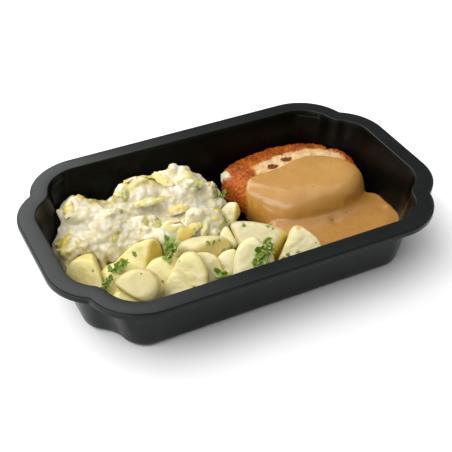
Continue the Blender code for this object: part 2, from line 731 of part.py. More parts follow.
def make_sauce(interior, cutters):
    sauce = make_pool()
    drape = patty_mesh("drape", GAP + CRUMB_PEAK + SAUCE_THICKNESS)
    add_boolean(drape, "INTERSECT", make_drape_region())
    bake(drape)
    fuse(sauce, [drape])
    add_boolean(sauce, "INTERSECT", interior)
    for cutter in cutters:
        add_boolean(sauce, "DIFFERENCE", cutter)
    bake(sauce)
    tidy_mesh(sauce, FLAT_ANGLE)
    return sauce


def tidy_mesh(thing, flat_angle):
    """Merge nearly flat faces and drop the loose scraps that a cut leaves behind."""
    work = bmesh.new()
    work.from_mesh(thing.data)
    bmesh.ops.dissolve_degenerate(work, dist=0.00002, edges=work.edges)
    if flat_angle:
        limit = math.radians(flat_angle)
        bmesh.ops.dissolve_limit(work, angle_limit=limit, verts=work.verts, edges=work.edges)
    bmesh.ops.triangulate(work, faces=work.faces)
    left = set(work.verts)
    groups = []
    while left:
        group = {left.pop()}
        reached = list(group)
        while reached:
            vertex = reached.pop()
            for edge in vertex.link_edges:
                other = edge.other_vert(vertex)
                if other in left:
                    left.discard(other)
                    group.add(other)
                    reached.append(other)
        groups.append(group)
    groups.sort(key=len)
    scraps = [v for group in groups[:-1] for v in group]
    bmesh.ops.delete(work, geom=scraps, context="VERTS")
    work.to_mesh(thing.data)
    work.free()


# Leek heap

def make_lump(name, centre, half, turn, detail, material):
    directions, faces = sphere_grid(detail)
    spin = Matrix.Rotation(math.radians(turn), 3, "Z")
    relief = min(LUMP_RELIEF, min(half) * LUMP_RELIEF_SHARE)
    points = []
    for direction in directions:
        bump = noise.noise(Vector(np.array(centre) + direction * min(half)) / LUMP_RELIEF_SIZE) * relief
        local = Vector(direction * np.array(half)) + Vector(direction) * bump
        points.append(np.array(spin @ local) + np.array(centre))
    return make_object(name, points, faces, material, 40)


def make_strip(name, centre, heading, facing, length, width, material):
    """Curved strip of leek with tapered ends."""
    along = Vector(unit(*heading))
    out = Vector(unit(*facing))
    out = (out - along * out.dot(along)).normalized()
    across = out.cross(along)
    stations = np.linspace(-1, 1, 5)
    rows = np.linspace(-1, 1, 3)
    points = []
    for skin in (0, 1):
        for s in stations:
            narrow = 1 - STRIP_TAPER * s * s
            for t in rows:
                dip = STRIP_BEND * length * s * s + STRIP_CUP * width * t * t * narrow + skin * STRIP_THICKNESS
                points.append(Vector(centre) + along * s * length / 2 + across * t * narrow * width / 2 - out * dip)
    n = len(rows)
    m = len(stations)
    faces = []
    for skin in (0, n * m):
        for j in range(m - 1):
            for i in range(n - 1):
                a = skin + j * n + i
                faces.append((a, a + 1, a + n + 1, a + n))
    rim = list(range(n)) + [n * j + n - 1 for j in range(1, m)]
    rim += [n * (m - 1) + i for i in reversed(range(n - 1))] + [n * j for j in reversed(range(1, m - 1))]
    for k, a in enumerate(rim):
        b = rim[(k + 1) % len(rim)]
        faces.append((b, a, a + n * m, b + n * m))
    return make_object(name, points, faces, material, 40)


def make_heap(interior, cutters):
    cream = make_material("creamed_leek", (0.78, 0.74, 0.58), 0.4)
    pieces = []
    for i, (centre, half, turn) in enumerate(HEAP_LUMPS):
        detail = 3 if centre[1] > HEAP_BACK_ROW else 2
        pieces.append(make_lump("leek_lump_%d" % i, centre, half, turn, detail, cream))
    for i, values in enumerate(HEAP_CRAGS):
        pieces.append(make_lump("leek_crag_%d" % i, *values, 2, cream))
    for i, (centre, heading, facing, length, width) in enumerate(LEEK_STRIPS):
        pieces.append(make_strip("leek_strip_%d" % i, centre, heading, facing, length, width, cream))
    heap = pieces[0]
    heap.name = "leek_heap"
    fuse(heap, pieces[1:])
    add_boolean(heap, "INTERSECT", interior)
    for cutter in cutters:
        add_boolean(heap, "DIFFERENCE", cutter)
    bake(heap)
    tidy_mesh(heap, FLAT_ANGLE)
    return heap


def clear_scene():
    for thing in list(bpy.data.objects):
        bpy.data.objects.remove(thing)


def main():
    clear_scene()
    make_tray()
    interior = make_interior()
    patty, patty_clearance, patty_points = make_patty()
    chunks, potato_cutters = make_potatoes(patty_points)
    make_sauce(interior, potato_cutters + [patty_clearance])
    make_heap(interior, potato_cutters + [patty_clearance])
    make_parsley(chunks)
    for thing in list(bpy.data.objects):
        if thing.display_type == "WIRE":
            bpy.data.objects.remove(thing)


main()
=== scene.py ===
import json
import math
import bmesh
import bpy
import numpy as np
from mathutils import Matrix, Vector, kdtree, noise

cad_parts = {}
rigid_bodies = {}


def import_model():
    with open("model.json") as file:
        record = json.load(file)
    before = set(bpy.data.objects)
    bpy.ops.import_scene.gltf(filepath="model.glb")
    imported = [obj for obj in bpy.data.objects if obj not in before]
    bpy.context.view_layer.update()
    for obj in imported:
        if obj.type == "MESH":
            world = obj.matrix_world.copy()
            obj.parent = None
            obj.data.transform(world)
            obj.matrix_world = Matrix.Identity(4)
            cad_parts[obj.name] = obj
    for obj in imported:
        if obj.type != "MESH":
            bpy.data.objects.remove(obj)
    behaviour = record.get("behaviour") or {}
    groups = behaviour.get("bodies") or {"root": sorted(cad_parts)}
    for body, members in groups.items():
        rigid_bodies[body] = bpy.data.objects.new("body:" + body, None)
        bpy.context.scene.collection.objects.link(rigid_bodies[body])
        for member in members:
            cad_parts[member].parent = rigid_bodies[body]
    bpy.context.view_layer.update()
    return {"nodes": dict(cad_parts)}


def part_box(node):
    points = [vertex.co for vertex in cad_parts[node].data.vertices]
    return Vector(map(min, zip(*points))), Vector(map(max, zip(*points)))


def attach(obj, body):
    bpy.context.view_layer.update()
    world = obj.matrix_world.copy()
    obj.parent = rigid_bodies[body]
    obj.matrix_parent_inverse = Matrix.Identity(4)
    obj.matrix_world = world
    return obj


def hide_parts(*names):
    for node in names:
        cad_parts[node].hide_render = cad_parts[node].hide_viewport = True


# Ready-meal tray with creamed leeks, potatoes, and a breaded patty under cream sauce.
# Shapes are worked out in millimetres and turned into metres when a mesh is made.

for leftOver in list(bpy.data.objects):
    bpy.data.objects.remove(leftOver)
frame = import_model()
mm = 0.001
print("frame loaded:", len(frame["nodes"]), "nodes")


# Mesh helpers

def placeMesh(name, mesh):
    thing = bpy.data.objects.new(name, mesh)
    bpy.context.scene.collection.objects.link(thing)
    return thing


def meshObject(name, points, faces, edges=()):
    mesh = bpy.data.meshes.new(name)
    mesh.from_pydata((np.asarray(points, float) * mm).tolist(), edges, faces)
    return placeMesh(name, mesh)


def pointsOf(thing):
    flat = np.empty(len(thing.data.vertices) * 3)
    thing.data.vertices.foreach_get("co", flat)
    return flat.reshape(-1, 3) / mm


def movePoints(thing, points):
    thing.data.vertices.foreach_set("co", (points * mm).ravel())
    thing.data.update()


def normalsOf(thing):
    flat = np.empty(len(thing.data.vertices) * 3)
    thing.data.vertex_normals.foreach_get("vector", flat)
    return flat.reshape(-1, 3)


def edgesOf(thing):
    flat = np.empty(len(thing.data.edges) * 2, int)
    thing.data.edges.foreach_get("vertices", flat)
    return flat.reshape(-1, 2)


def setValues(thing, name, values):
    layer = thing.data.attributes.get(name) or thing.data.attributes.new(name, "FLOAT", "POINT")
    layer.data.foreach_set("value", np.asarray(values, np.float32))


def valuesOf(thing, name):
    values = np.empty(len(thing.data.vertices), np.float32)
    thing.data.attributes[name].data.foreach_get("value", values)
    return values


def bakeModifiers(thing):
    # the evaluated mesh becomes the plain mesh of the piece
    graph = bpy.context.evaluated_depsgraph_get()
    mesh = bpy.data.meshes.new_from_object(thing.evaluated_get(graph))
    thing.modifiers.clear()
    thing.data = mesh
    return thing


def faceOut(thing):
    work = bmesh.new()
    work.from_mesh(thing.data)
    bmesh.ops.recalc_face_normals(work, faces=work.faces)
    work.to_mesh(thing.data)
    work.free()
    return thing


def voxelSkin(thing, size):
    step = thing.modifiers.new("skin", "REMESH")
    step.mode = "VOXEL"
    step.voxel_size = size * mm
    return bakeModifiers(thing)


def thicken(thing, thickness, offset=0, even=False):
    step = thing.modifiers.new("thickness", "SOLIDIFY")
    step.thickness = thickness * mm
    step.offset = offset
    step.use_even_offset = even
    return bakeModifiers(thing)


def cut(thing, tool, operation, keepTool=False):
    step = thing.modifiers.new("cut", "BOOLEAN")
    step.operation = operation
    step.solver = "MANIFOLD"
    step.object = tool
    bakeModifiers(thing)
    if not keepTool:
        bpy.data.objects.remove(tool)
    return thing


def relax(thing, rounds, weight=0.5):
    # weight may be one number or one for each point
    points = pointsOf(thing)
    a, b = edgesOf(thing).T
    count = np.bincount(a, minlength=len(points)) + np.bincount(b, minlength=len(points))
    weight = np.broadcast_to(weight, len(points))[:, None]
    for _ in range(rounds):
        total = np.empty_like(points)
        for axis in range(3):
            values = points[:, axis]
            total[:, axis] = (np.bincount(a, values[b], len(points)) + np.bincount(b, values[a], len(points)))
        points = points + (total / count[:, None] - points) * weight
    movePoints(thing, points)
    return thing


def joinThings(name, things):
    work = bmesh.new()
    for thing in things:
        work.from_mesh(thing.data)
        bpy.data.objects.remove(thing)
    mesh = bpy.data.meshes.new(name)
    work.to_mesh(mesh)
    work.free()
    return placeMesh(name, mesh)


def ringFaces(count, rings, ends=True):
    faces = []
    for ring in range(rings - 1):
        start = ring * count
        for i in range(count):
            j = (i + 1) % count
            faces.append((start + i, start + j, start + count + j, start + count + i))
    if ends:
        faces.append(tuple(reversed(range(count))))
        faces.append(tuple(range((rings - 1) * count, rings * count)))
    return faces


def gridFaces(rows, columns):
    return [(r * columns + c, r * columns + c + 1, (r + 1) * columns + c + 1, (r + 1) * columns + c)
            for r in range(rows - 1) for c in range(columns - 1)]


def aim(azimuth, rise):
    # unit vector from an azimuth about +Z and a rise above level, in degrees
    a, e = math.radians(azimuth), math.radians(rise)
    return np.array([math.cos(e) * math.cos(a), math.cos(e) * math.sin(a), math.sin(e)])


def wobble(points, size, seed=0.0, octaves=3):
    # soft fractal noise for an array of points, about -1 to 1
    fade, finer = 0.9, 2.1  # how fast the octaves weaken, and how much finer each one is
    shift = Vector((seed, 0, 0))
    return np.array([noise.fractal(Vector(p) / size + shift, fade, finer, octaves) for p in points])


def ballGrid(detail):
    work = bmesh.new()
    bmesh.ops.create_icosphere(work, subdivisions=detail, radius=1.0)
    directions = np.array([v.co.normalized() for v in work.verts])
    faces = [tuple(v.index for v in f.verts) for f in work.faces]
    work.free()
    return directions, faces


def finishPiece(thing, material, nodes=(), sharp=180):
    thing.data.materials.clear()
    thing.data.materials.append(material)
    thing.data.shade_smooth()
    if sharp < 180:
        thing.data.set_sharp_from_angle(angle=math.radians(sharp))
    if nodes:
        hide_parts(*nodes)
    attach(thing, "root")
    return thing


# Node helpers, for materials and geometry trees alike

def addNode(tree, kind, inputs=None, **settings):
    made = tree.nodes.new(kind)
    for key, value in settings.items():
        setattr(made, key, value)
    for key, value in (inputs or {}).items():
        if isinstance(value, bpy.types.NodeSocket):
            tree.links.new(value, made.inputs[key])
        else:
            made.inputs[key].default_value = value
    return made


def newFinish(name, **sockets):
    # a material whose shader has these constant sockets; returns (material, tree, shader)
    material = bpy.data.materials.new(name)
    material.use_nodes = True
    shader = material.node_tree.nodes["Principled BSDF"]
    for key, value in sockets.items():
        shader.inputs[key].default_value = value
    return material, material.node_tree, shader


def srgb(red, green, blue):
    # 0 to 255 display values as a linear colour
    def linear(value):
        return value / 255 / 12.92 if value < 11 else ((value / 255 + 0.055) / 1.055) ** 2.4

    return linear(red), linear(green), linear(blue), 1


def noiseOf(tree, size, detail=3, roughness=0.55):
    # noise whose lumps are about size millimetres across
    place = addNode(tree, "ShaderNodeTexCoord").outputs["Object"]
    scaled = addNode(tree, "ShaderNodeMapping", {"Vector": place, "Scale": [1 / (size * mm)] * 3})
    return addNode(tree, "ShaderNodeTexNoise", {"Vector": scaled.outputs[0], "Scale": 1.0, "Detail": detail,
                                                "Roughness": roughness}).outputs["Fac"]


def valueOf(tree, name):
    return addNode(tree, "ShaderNodeAttribute", attribute_name=name).outputs["Fac"]


def ranged(tree, value, low, high, toLow=0.0, toHigh=1.0):
    return addNode(tree, "ShaderNodeMapRange", {"Value": value, "From Min": low, "From Max": high,
                                                "To Min": toLow, "To Max": toHigh}).outputs["Result"]


def mathOf(tree, operation, a, b):
    return addNode(tree, "ShaderNodeMath", {0: a, 1: b}, operation=operation).outputs[0]


def blendColours(tree, factor, a, b):
    made = addNode(tree, "ShaderNodeMix", {"Factor": factor}, data_type="RGBA")
    for socket, value in ((made.inputs[6], a), (made.inputs[7], b)):
        if isinstance(value, bpy.types.NodeSocket):
            tree.links.new(value, socket)
        else:
            socket.default_value = value
    return made.outputs[2]


def addBump(tree, shader, height, strength, depth):
    # depth is the height of the relief in millimetres
    made = addNode(tree, "ShaderNodeBump", {"Height": height, "Strength": strength, "Distance": depth * mm})
    tree.links.new(made.outputs[0], shader.inputs["Normal"])


def startTree(name, output, inputs):
    # geometry tree with one geometry output; inputs gives each input's kind by its name
    tree = bpy.data.node_groups.new(name, "GeometryNodeTree")
    for label, kind in inputs.items():
        tree.interface.new_socket(label, in_out="INPUT", socket_type="NodeSocket" + kind)
    tree.interface.new_socket(output, in_out="OUTPUT", socket_type="NodeSocketGeometry")
    return tree, addNode(tree, "NodeGroupInput").outputs


def endTree(tree, geometry, material):
    real = addNode(tree, "GeometryNodeRealizeInstances", {0: geometry})
    painted = addNode(tree, "GeometryNodeSetMaterial", {"Geometry": real.outputs[0], "Material": material})
    addNode(tree, "NodeGroupOutput", {0: painted.outputs[0]})
    return tree


def setInputs(step, values):
    # modifier inputs are keyed by the socket's identifier
    for item in step.node_group.interface.items_tree:
        if item.in_out == "INPUT" and item.name in values:
            step[item.identifier] = values[item.name]


# Tray: a section swept along the scalloped outline, its corners flattened by the stacking lugs

trayBox = [np.array(corner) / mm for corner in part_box("tray")]
tray = {
    "length": trayBox[1][0] - trayBox[0][0],
    "width": trayBox[1][1] - trayBox[0][1],
    "height": trayBox[1][2],
    "sheet": 0.7,
    "longLobeRadius": 31.6,
    "longLobeInset": 44.7,
    "shortLobeRadius": 30.5,
    "shortLobeInset": 50.2,
    "notchRadius": 2.4,
    "rimInner": 10.0,
    "baseInset": 17.6,
    "baseFillet": 4.7,
    "lipDrop": 3.4,
    "lipRound": 0.3,
    "ledgeStep": 0.75,
    "ledgeWidth": 0.85,
    "ledgeRound": 0.15,
    "ledgeBevel": 0.2,
    "rimRound": 0.7,
    "lugAngle": math.radians(50),
    "lugHalfAngle": math.radians(23),
    "lugTop": 36.0,
    "lugShelf": 0.5,
    "lugDraft": math.tan(math.radians(8.3)),
    "arcSteps": (26, 10, 22),
    "wallFrom": 7.5,
    "wallSteps": 14,
    "smoothBelow": 32,
}
trayCorner = np.array([tray["length"], tray["width"]]) / 2
longLobe = trayCorner - (tray["longLobeInset"], tray["longLobeRadius"])
shortLobe = trayCorner - (tray["shortLobeRadius"], tray["shortLobeInset"])
wallSlope = (tray["baseInset"] - tray["rimInner"] + tray["sheet"]) / tray["height"]


def notchCentre():
    # hollow fillet that is tangent to both lobes of a corner
    toLong = tray["longLobeRadius"] + tray["notchRadius"]
    toShort = tray["shortLobeRadius"] + tray["notchRadius"]
    apart = shortLobe - longLobe
    span = np.hypot(*apart)
    along = (span ** 2 + toLong ** 2 - toShort ** 2) / (2 * span)
    across = math.sqrt(toLong ** 2 - along ** 2)
    forward = apart / span
    return longLobe + forward * along + np.array([-forward[1], forward[0]]) * across


notch = notchCentre()


def trayOutline(inset=0.0, lugLimit=None):
    # closed outline, anticlockwise, starting at the middle of the back
    turnLong = math.atan2(*(notch - longLobe)[::-1])
    turnShort = math.atan2(*(notch - shortLobe)[::-1])
    stepsLong, stepsNotch, stepsShort = tray["arcSteps"]
    corner = []
    for t in np.linspace(math.pi / 2, turnLong, stepsLong + 1):
        reach = tray["longLobeRadius"] - inset
        if lugLimit is not None:
            reach = min(reach, lugLimit / max(math.cos(t - tray["lugAngle"]), 0.2))
        corner.append(longLobe + reach * np.array([math.cos(t), math.sin(t)]))
    for t in np.linspace(turnLong + math.pi, turnShort + math.pi, stepsNotch + 1)[1:-1]:
        corner.append(notch + (tray["notchRadius"] + inset) * np.array([math.cos(t), math.sin(t)]))
    for t in np.linspace(turnShort, 0, stepsShort + 1):
        corner.append(shortLobe + (tray["shortLobeRadius"] - inset) * np.array([math.cos(t), math.sin(t)]))
    corner = np.array(corner)
    right = np.vstack([corner, (corner * (1, -1))[::-1]])
    return np.vstack([right, -right])[::-1]


def wallInset(z):
    # inset of the inner wall at a height
    return tray["baseInset"] - z * wallSlope + tray["sheet"] * (1 + wallSlope)


def lugReach(z):
    # distance from the long lobe's centre to the inside of the stacking lug
    flat = (tray["longLobeRadius"] - tray["rimInner"]) * math.cos(tray["lugHalfAngle"])
    return flat - tray["sheet"] - (tray["lugTop"] - z) * tray["lugDraft"]


def roundedPath(corners, steps=4):
    # polyline through (inset, height, corner radius), each inner corner rounded by an arc
    points = []
    for i, (x, z, radius) in enumerate(corners):
        here = np.array([x, z])
        if radius == 0 or i in (0, len(corners) - 1):
            points.append(here)
            continue
        back = np.array(corners[i - 1][:2]) - here
        ahead = np.array(corners[i + 1][:2]) - here
        back, ahead = back / np.linalg.norm(back), ahead / np.linalg.norm(ahead)
        half = math.acos(np.clip(back @ ahead, -1, 1)) / 2
        reach = radius / math.tan(half)
        bisector = (back + ahead) / np.linalg.norm(back + ahead)
        centre = here + bisector * radius / math.sin(half)
        start, end = here + back * reach, here + ahead * reach
        for t in np.linspace(0, 1, steps + 1):
            arm = (start - centre) * (1 - t) + (end - centre) * t
            points.append(centre + arm / np.linalg.norm(arm) * radius)
    return points


def traySection():
    # upper and inner skin of the sheet, from the lip's lower edge in to the base
    top = tray["height"]
    shelf = top - tray["ledgeStep"]
    low = tray["sheet"]
    lugEdge = [tray["lugTop"] + tray["lugShelf"], tray["lugTop"]]
    wall = np.linspace(tray["lugTop"] - 1.5, tray["wallFrom"], tray["wallSteps"])
    return roundedPath([
        (0.0, top - tray["lipDrop"], 0),
        (0.0, shelf, tray["lipRound"]),
        (tray["ledgeWidth"], shelf, tray["ledgeRound"]),
        (tray["ledgeWidth"] + tray["ledgeBevel"], top, tray["lipRound"]),
        (wallInset(top), top, tray["rimRound"]),
        *[(wallInset(z), z, 0) for z in [*lugEdge, *wall]],
        (wallInset(low), low, tray["baseFillet"]),
        (wallInset(low) + 9.0, low, 0)])


def buildTrayTree():
    tree, given = startTree("trayFromSection", "Tray", {
        "Outline": "Geometry", "Section": "Object", "Lobe X": "Float", "Lobe Y": "Float",
        "Lug Angle": "Float", "Lug Reach": "Float", "Lug Top": "Float", "Lug Draft": "Float",
        "Material": "Material"})
    path = addNode(tree, "GeometryNodeMeshToCurve", {"Mesh": given["Outline"]})
    path = addNode(tree, "GeometryNodeSetCurveNormal", {"Curve": path.outputs[0]}, mode="Z_UP")
    section = addNode(tree, "GeometryNodeObjectInfo", {"Object": given["Section"]})
    section = addNode(tree, "GeometryNodeMeshToCurve", {"Mesh": section.outputs["Geometry"]})
    skin = addNode(tree, "GeometryNodeCurveToMesh", {
        "Curve": path.outputs[0], "Profile Curve": section.outputs[0]})

    def calc(operation, a, b=0.0):
        return mathOf(tree, operation, a, b)

    # how far a point lies past the lug's flat, measured along the lug's own direction
    position = addNode(tree, "GeometryNodeInputPosition").outputs[0]
    place = addNode(tree, "ShaderNodeSeparateXYZ", {0: position}).outputs
    alongX = calc("COSINE", given["Lug Angle"])
    alongY = calc("SINE", given["Lug Angle"])
    out = calc("ADD", calc("MULTIPLY", calc("SUBTRACT", calc("ABSOLUTE", place[0]), given["Lobe X"]), alongX),
               calc("MULTIPLY", calc("SUBTRACT", calc("ABSOLUTE", place[1]), given["Lobe Y"]), alongY))
    down = calc("SUBTRACT", given["Lug Top"], place[2])
    limit = calc("SUBTRACT", given["Lug Reach"], calc("MULTIPLY", down, given["Lug Draft"]))
    past = calc("MAXIMUM", calc("SUBTRACT", out, limit), 0.0)
    past = calc("MULTIPLY", past, calc("GREATER_THAN", down, -0.00001))
    shift = addNode(tree, "ShaderNodeCombineXYZ", {
        0: calc("MULTIPLY", calc("MULTIPLY", past, alongX), calc("MULTIPLY", calc("SIGN", place[0]), -1.0)),
        1: calc("MULTIPLY", calc("MULTIPLY", past, alongY), calc("MULTIPLY", calc("SIGN", place[1]), -1.0))})
    moved = addNode(tree, "GeometryNodeSetPosition", {
        "Geometry": skin.outputs[0], "Offset": shift.outputs[0]})
    return endTree(tree, moved.outputs[0], given["Material"])


def wireObject(name, points, closed):
    last = len(points) - 1
    return meshObject(name, points, [], [(i, i + 1) for i in range(last)] + ([(last, 0)] if closed else []))


def plasticFinish():
    material, tree, shader = newFinish("blackTraySheet", **{"Specular Tint": (0.92, 1.0, 0.98, 1)})
    broad = noiseOf(tree, 40, 2)
    fine = noiseOf(tree, 0.9, 4)
    shades = (0.0030, 0.0036, 0.0034, 1), (0.0046, 0.0054, 0.0052, 1)
    base = blendColours(tree, ranged(tree, broad, 0.3, 0.7), *shades)
    # painted shade: the tray's inner walls get a darker base colour and a weaker specular than the outside
    insideShade = valueOf(tree, "insideShade")
    base = blendColours(tree, insideShade, base, (0.0016, 0.0015, 0.0012, 1))
    tree.links.new(base, shader.inputs["Base Color"])
    tree.links.new(ranged(tree, insideShade, 0, 1, 0.19, 0.11), shader.inputs["Specular IOR Level"])
    tree.links.new(ranged(tree, broad, 0.3, 0.7, 0.24, 0.31), shader.inputs["Roughness"])
    addBump(tree, shader, fine, 0.12, 0.03)
    return material


def makeTray():
    section = wireObject("traySectionLine", [(-inset, -z, 0) for inset, z in traySection()], False)
    shell = wireObject("tray_shell", [(x, y, 0) for x, y in trayOutline()], True)
    material = plasticFinish()
    step = shell.modifiers.new("sweep", "NODES")
    step.node_group = buildTrayTree()
    setInputs(step, {
        "Section": section, "Lobe X": float(longLobe[0] * mm), "Lobe Y": float(longLobe[1] * mm),
        "Lug Angle": tray["lugAngle"], "Lug Reach": float(lugReach(tray["lugTop"]) * mm),
        "Lug Top": tray["lugTop"] * mm, "Lug Draft": tray["lugDraft"], "Material": material})
    bakeModifiers(shell)
    bpy.data.objects.remove(section)
    work = bmesh.new()
    work.from_mesh(shell.data)
    bmesh.ops.remove_doubles(work, verts=work.verts, dist=0.000001)
    floorEdges = [e for e in work.edges if e.is_boundary and e.verts[0].co.z < 0.01]
    bmesh.ops.holes_fill(work, edges=floorEdges, sides=0)
    bmesh.ops.recalc_face_normals(work, faces=work.faces)
    floorFace = max(work.faces, key=lambda f: f.calc_area())
    if floorFace.normal.z < 0:
        bmesh.ops.reverse_faces(work, faces=work.faces)
    work.to_mesh(shell.data)
    work.free()
    thicken(shell, tray["sheet"], -1, True)
    points, normals = pointsOf(shell), normalsOf(shell)
    # painted shade mask: the inward-facing skin below the rim, darkened in the finish
    inward = -(points[:, :2] * normals[:, :2]).sum(axis=1) / np.linalg.norm(points[:, :2], axis=1).clip(1)
    setValues(shell, "insideShade", np.clip(inward * 3, 0, 1) * (points[:, 2] < tray["height"] - 1.5))
    return finishPiece(shell, material, ["tray"], sharp=tray["smoothBelow"])


def insideTray(points, clear=0.5):
    # True for the points that are clear of the tray's walls and base
    x, y, z = np.abs(points[:, 0]), np.abs(points[:, 1]), points[:, 2]
    inset = wallInset(z) + clear
    above = np.clip((z - tray["sheet"]) / tray["baseFillet"], 0, 1)
    inset = inset + tray["baseFillet"] * (1 - np.sqrt(1 - (1 - above) ** 2))
    dx, dy = x - longLobe[0], y - longLobe[1]
    straight = (x <= tray["length"] / 2 - inset) & (y <= tray["width"] / 2 - inset)
    reach = tray["longLobeRadius"] - inset
    out = dx * math.cos(tray["lugAngle"]) + dy * math.sin(tray["lugAngle"])
    lug = (z >= tray["lugTop"] + tray["lugShelf"]) | (out <= lugReach(z) - clear)
    inLong = (np.hypot(dx, dy) <= reach) & lug
    inShort = np.hypot(x - shortLobe[0], y - shortLobe[1]) <= tray["shortLobeRadius"] - inset
    outer = (x > longLobe[0]) & (y > shortLobe[1])
    return np.where(outer, inLong | inShort, straight) & (z >= 0.35 + tray["sheet"])


def drawInside(centre, points, clear=0.5):
    # pulls points in towards a centre until they are clear of the tray
    low, high = np.zeros(len(points)), np.ones(len(points))
    free = insideTray(points, clear)
    for _ in range(14):
        share = (low + high) / 2
        ok = insideTray(centre + (points - centre) * share[:, None], clear)
        low, high = np.where(ok, share, low), np.where(ok, high, share)
    share = np.where(free, 1.0, low)
    return centre + (points - centre) * share[:, None]


def trayInterior(gap):
    # closed solid of the tray's inside, to trim what lies against the walls
    low, radius, slope = tray["sheet"], tray["baseFillet"], math.atan(wallSlope)
    rings = [(wallInset(low) + 6.0, low + gap, None)]
    centre = wallInset(low) + radius * math.tan((math.pi / 2 - slope) / 2)
    for t in np.linspace(math.pi / 2, slope, 6):
        rings.append((centre - radius * math.cos(t) + gap, low + radius * (1 - math.sin(t)) + gap, None))
    for z in (14.0, 22.0, tray["lugTop"]):
        rings.append((wallInset(z) + gap, z, lugReach(z) - gap))
    rings.append((wallInset(tray["height"]) + gap, tray["height"], None))
    points = [(x, y, z) for inset, z, lug in rings for x, y in trayOutline(inset, lug)]
    count = len(points) // len(rings)
    return faceOut(meshObject("trayInside", points, ringFaces(count, len(rings))))


trayPiece = makeTray()
print("tray:", len(trayPiece.data.polygons), "faces")


# Patty

patty = {
    "centre": (57.0, 24.0),
    "half": (40.5, 33.5),
    "height": 20.5,
    "floor": 1.05,
    "squareness": 2.2,
    "edge": 4.6,
    "lean": 0.5,
    "leanStart": 9.0,
    "corners": [(145, 24, 0.14), (-160, 30, -0.10)],
    "uneven": 0.012,
    "segments": (360, 120),
    "crumbDepth": 0.5,
    "crumbSize": 1.7,
    "lumpDepth": 0.85,
    "lumpSize": 6.0,
    "paleShare": 0.57,
    "paleMore": 0.27,
    "paleEdge": 0.11,
    "paleAbove": 15.0,
    "spots": [((46.2, 34.6), 3.0, 2.4), ((57.4, 37.8), 3.3, 2.5), ((71.5, 52.6), 2.6, 1.2)],
    "smear": ((19.0, 42.5, 16.5), (3.0, 5.5, 5.0)),
    "crumbs": {"Density": 520000.0, "Seed": 7, "Smallest": 0.35, "Largest": 0.85,
               "Sink": 0.0001, "Lean": 0.6},
    "clear": 0.65,
}


def pattyReach(angle):
    c = np.abs(np.cos(angle)) / patty["half"][0]
    s = np.abs(np.sin(angle)) / patty["half"][1]
    plain = (c ** patty["squareness"] + s ** patty["squareness"]) ** (-1 / patty["squareness"])
    uneven = patty["uneven"] * np.sin(5 * angle)
    for corner, spread, share in patty["corners"]:
        apart = (np.degrees(angle) - corner + 180) % 360 - 180
        uneven = uneven + share * np.exp(-(apart / spread) ** 2)
    return plain * (1 + uneven)


def pattySurface(angle, rise, grow=0.0):
    across = np.maximum(np.cos(rise), 0) ** (2 / patty["edge"])
    up = np.sign(np.sin(rise)) * np.abs(np.sin(rise)) ** (2 / patty["edge"])
    z = patty["floor"] + patty["height"] / 2 + up * (patty["height"] / 2 + grow)
    # the front leans back, least at the right end
    front = np.clip(0.2 - 1.2 * np.sin(angle), 0, 1) * (1 - 0.6 * np.clip(np.cos(angle), 0, 1))
    lean = patty["lean"] * front * np.maximum(z - patty["leanStart"], 0)
    reach = (pattyReach(angle) + grow - lean) * across
    x, y = patty["centre"]
    return np.stack([x + np.cos(angle) * reach, y + np.sin(angle) * reach, z], -1)


def pattyShell(name, around, up, grow):
    # rings close together where the rounded edge turns, and a fan over each pole
    rises = np.linspace(-1, 1, up + 2)[1:-1]
    rises = np.sign(rises) * (1 - (1 - np.abs(rises)) ** 1.6) * math.pi / 2
    angles = np.linspace(0, 2 * math.pi, around, endpoint=False)
    rings = [pattySurface(angles, np.full(around, rise), grow) for rise in rises]
    poles = [pattySurface(np.zeros(1), np.full(1, pole), grow) for pole in (-math.pi / 2, math.pi / 2)]
    points = np.vstack(rings + poles)
    faces = ringFaces(around, up, ends=False)
    bottom, top, last = around * up, around * up + 1, around * (up - 1)
    for i in range(around):
        j = (i + 1) % around
        faces.append((bottom, j, i))
        faces.append((last + i, last + j, top))
    return faceOut(meshObject(name, points, faces))


def crustFinish():
    material, tree, shader = newFinish("friedCrumb", **{
        "Subsurface Weight": 0.05, "Subsurface Scale": 0.0015, "Subsurface Radius": (1.0, 0.5, 0.2),
        "Specular IOR Level": 0.18})
    patchy = noiseOf(tree, 8, 4, 0.6)
    grain = noiseOf(tree, 1.6, 4, 0.65)
    flecks = noiseOf(tree, 2.6, 5, 0.7)
    golden = blendColours(tree, ranged(tree, grain, 0.35, 0.68), srgb(140, 62, 6), srgb(194, 104, 24))
    dark = blendColours(tree, ranged(tree, grain, 0.35, 0.68), srgb(104, 42, 6), srgb(162, 78, 16))
    crust = blendColours(tree, ranged(tree, patchy, 0.40, 0.62), golden, dark)
    crust = blendColours(tree, ranged(tree, flecks, 0.56, 0.72, 0.0, 0.75), crust, srgb(206, 132, 58))
    pale = blendColours(tree, ranged(tree, patchy, 0.35, 0.65), srgb(186, 150, 98), srgb(202, 178, 136))
    edge = mathOf(tree, "ADD", valueOf(tree, "pale"), ranged(tree, flecks, 0.3, 0.7, -0.25, 0.25))
    rusk = blendColours(tree, ranged(tree, edge, 0.25, 0.5), crust, srgb(184, 118, 50))
    base = blendColours(tree, ranged(tree, edge, 0.42, 0.78), rusk, pale)
    base = blendColours(tree, ranged(tree, valueOf(tree, "spot"), 0.2, 0.6), base, srgb(104, 44, 14))
    base = blendColours(tree, valueOf(tree, "smear"), base, srgb(206, 198, 170))
    tree.links.new(base, shader.inputs["Base Color"])
    tree.links.new(ranged(tree, grain, 0.3, 0.7, 0.62, 0.40), shader.inputs["Roughness"])
    addBump(tree, shader, noiseOf(tree, 0.7, 5, 0.7), 0.5, 0.25)
    return material


